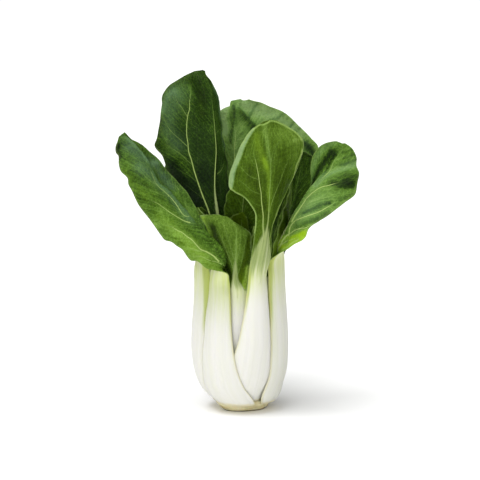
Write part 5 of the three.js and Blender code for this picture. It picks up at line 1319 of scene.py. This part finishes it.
# ---- the cut stem --------------------------------------------------------------
def stem_piece(room, mat):
    N = 200
    phi = np.linspace(-180, 180, N, endpoint=False)
    o = np.array(STEM_OUTLINE)
    r0 = herm(o[:, 0], o[:, 1], phi)
    a = np.radians(phi)
    rng = np.random.RandomState(9)
    rings, scar, cut = [], [], []

    def bumps(z, length, seed):
        return wobble(a * 17.0, np.full(N, z), seed, length)
    # the flat cut, from its middle out
    for f in (0.12, 0.3, 0.5, 0.7, 0.86, 0.95):
        r = (r0 - 1.1) * f
        rings.append((r, np.zeros(N)))
        scar.append(np.full(N, 0.15 if f < 0.8 else 0.35))
        cut.append(np.ones(N))
    # the side leans out from the cut edge to the stalks' feet
    for z in (0.0, 0.25, 0.6, 1.0, 1.6, 2.4, 3.2, 4.0, 4.7, 5.3, 5.8, 6.15):
        lean = 3.6 * smooth(1.4, 6.6, z) ** 1.2
        under = 3.4 * (1 - min((z + 0.1) / 1.8, 1)) ** 1.4
        step = 0.55 * smooth(-0.2, 0.25, bumps(z * 0.6, 11.0, 5)) - 0.30
        lip = 0.5 * np.exp(-((z - (2.6 + 1.4 * bumps(0, 26.0, 6))) / 0.55) ** 2)
        # flaps of skin left by the knife, at the front left and the front right
        lip = lip + 2.6 * np.exp(-((phi + 142) / 20) ** 2 - ((z - 1.5) / 1.0) ** 2)
        lip = lip + 1.6 * np.exp(-((phi + 52) / 13) ** 2 - ((z - 3.6) / 1.3) ** 2)
        r = np.minimum(r0 - 0.6 - under + step + lip + 0.18 * bumps(z, 3.0, 7), r0 + 0.15) + lean
        rings.append((r, np.full(N, z)))
        scar.append(np.clip(0.10 + 1.0 * lip + 0.35 * (z < 0.5) + 0.2 * smooth(-0.1, 0.5, bumps(z * 0.3, 9.0, 11)), 0, 1))
        cut.append(np.full(N, 1.0 if z == 0 else 0.0))
    # it fills the notch below the foot of the front right stalk
    notch = smooth(9, 15, phi) * smooth(46, 39, phi)
    found = next(lf for lf in LEAVES if lf['name'] == 'leaf_front_right')['room_as_found']
    for z in (6.4, 7.2, 8.0, 8.6, 10.0, 14.0, 18.0, 22.0, STEM_TOP):
        least, near = np.full(N, 60.0), np.full(N, 60.0)
        for d in (-10, -5, 0, 5, 10):
            for e in (0, 3):
                least = np.minimum(least, sample_room(room, phi + d, np.full(N, max(z - e, 3.0))))
        for d in (-3, 0, 3):
            near = np.minimum(near, sample_room(found, phi + d, np.full(N, z)))
        r = np.clip(np.minimum(least - 0.8, 15.5 * (1 - (z - 6) / (STEM_TOP + 2 - 6))), 1, r0)
        if z < 9:
            fill = np.minimum(near - 0.5, 20.6 + 0.5 * (z - 6.4))
            r = r * (1 - notch) + np.maximum(fill, r) * notch
        rings.append((r, np.full(N, z)))
        scar.append(np.full(N, 0.45 if z < 9 else 0.2))
        cut.append(np.zeros(N))
    pos = np.concatenate([np.stack([axis_x(z) + r * np.sin(a), -r * np.cos(a), z], 1) for r, z in rings])
    pos = np.concatenate([pos, [[0, 0, 0]], [[axis_x(STEM_TOP), 0, STEM_TOP + 0.4]]])
    k = np.arange(N)
    quads = np.concatenate([np.stack([r * N + k, r * N + (k + 1) % N, (r + 1) * N + (k + 1) % N, (r + 1) * N + k], 1)
                            for r in range(len(rings) - 1)])
    b = len(pos) - 2
    last = (len(rings) - 1) * N
    tris = np.concatenate([np.stack([np.full(N, b), (k + 1) % N, k], 1),
                           np.stack([np.full(N, b + 1), last + k, last + (k + 1) % N], 1)])
    att = {'scar': np.concatenate(scar + [[0.2], [0.2]]), 'cut': np.concatenate(cut + [[1.0], [0.0]])}
    return add_mesh('stem_base_skin', pos, quads, att, {}, mat, tris)


room = lay_stalks()
leaf_mat, inner_mat = leaf_material('leaf_outer'), leaf_material('leaf_inner')
for index, lf in enumerate(LEAVES):
    pos, quads, att, vec = leaf_parts(lf, index)
    young = lf['name'].startswith(('inner', 'heart'))
    ob = add_mesh(lf['name'] + '_skin', pos, quads, att, vec, inner_mat if young else leaf_mat)
    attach(ob, 'root')
    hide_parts(lf['name'])
stem = stem_piece(room, stem_material())
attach(stem, 'root')
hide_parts('stem_base')

# ---- studio ----------------------------------------------------------------------
bpy.ops.mesh.primitive_grid_add(x_subdivisions=2, y_subdivisions=2, size=16.0, location=(0, 2.0, 0))
floor = bpy.context.object
floor.name = 'studio_floor'
floor.data.materials.append(floor_material())

world = bpy.data.worlds.new('studio')
bpy.context.scene.world = world
world.use_nodes = True
wt = world.node_tree
wt.nodes.clear()
bg = wt.nodes.new('ShaderNodeBackground')
bg.inputs[0].default_value = (1, 1, 1, 1)
bg.inputs[1].default_value = 0.41
seen = wt.nodes.new('ShaderNodeBackground')
seen.inputs[0].default_value = (1, 1, 1, 1)
seen.inputs[1].default_value = 1.05
lp = wt.nodes.new('ShaderNodeLightPath')
mx = wt.nodes.new('ShaderNodeMixShader')
wo = wt.nodes.new('ShaderNodeOutputWorld')
wt.links.new(lp.outputs['Is Camera Ray'], mx.inputs[0])
wt.links.new(bg.outputs[0], mx.inputs[1])
wt.links.new(seen.outputs[0], mx.inputs[2])
wt.links.new(mx.outputs[0], wo.inputs[0])


def sun(name, azimuth, elevation, strength, angle):
    """azimuth from the front, positive to the right"""
    d = bpy.data.lights.new(name, 'SUN')
    d.energy, d.angle = strength, math.radians(angle)
    ob = bpy.data.objects.new(name, d)
    ob.rotation_euler = (math.radians(90 - elevation), 0, math.radians(azimuth))
    bpy.context.scene.collection.objects.link(ob)
    return ob


sun('key', -62, 76, 2.6, 40)
sun('front', -14, 22, 1.05, 40)

D, TILT, ZT = 1.2, 8.5, 0.13366
cam_data = bpy.data.cameras.new('camera')
cam_data.sensor_width, cam_data.lens = 36.0, 1534.5 * 36 / 480
cam_data.clip_start, cam_data.clip_end = 0.05, 60.0
cam = bpy.data.objects.new('camera', cam_data)
e = math.radians(TILT)
cam.location = (HEAD_AXIS_X / 1000, -D * math.cos(e), ZT + D * math.sin(e))
cam.rotation_euler = (math.radians(90 - TILT), 0, 0)
bpy.context.scene.collection.objects.link(cam)
bpy.context.scene.camera = cam
bpy.context.scene.view_settings.view_transform = 'Standard'
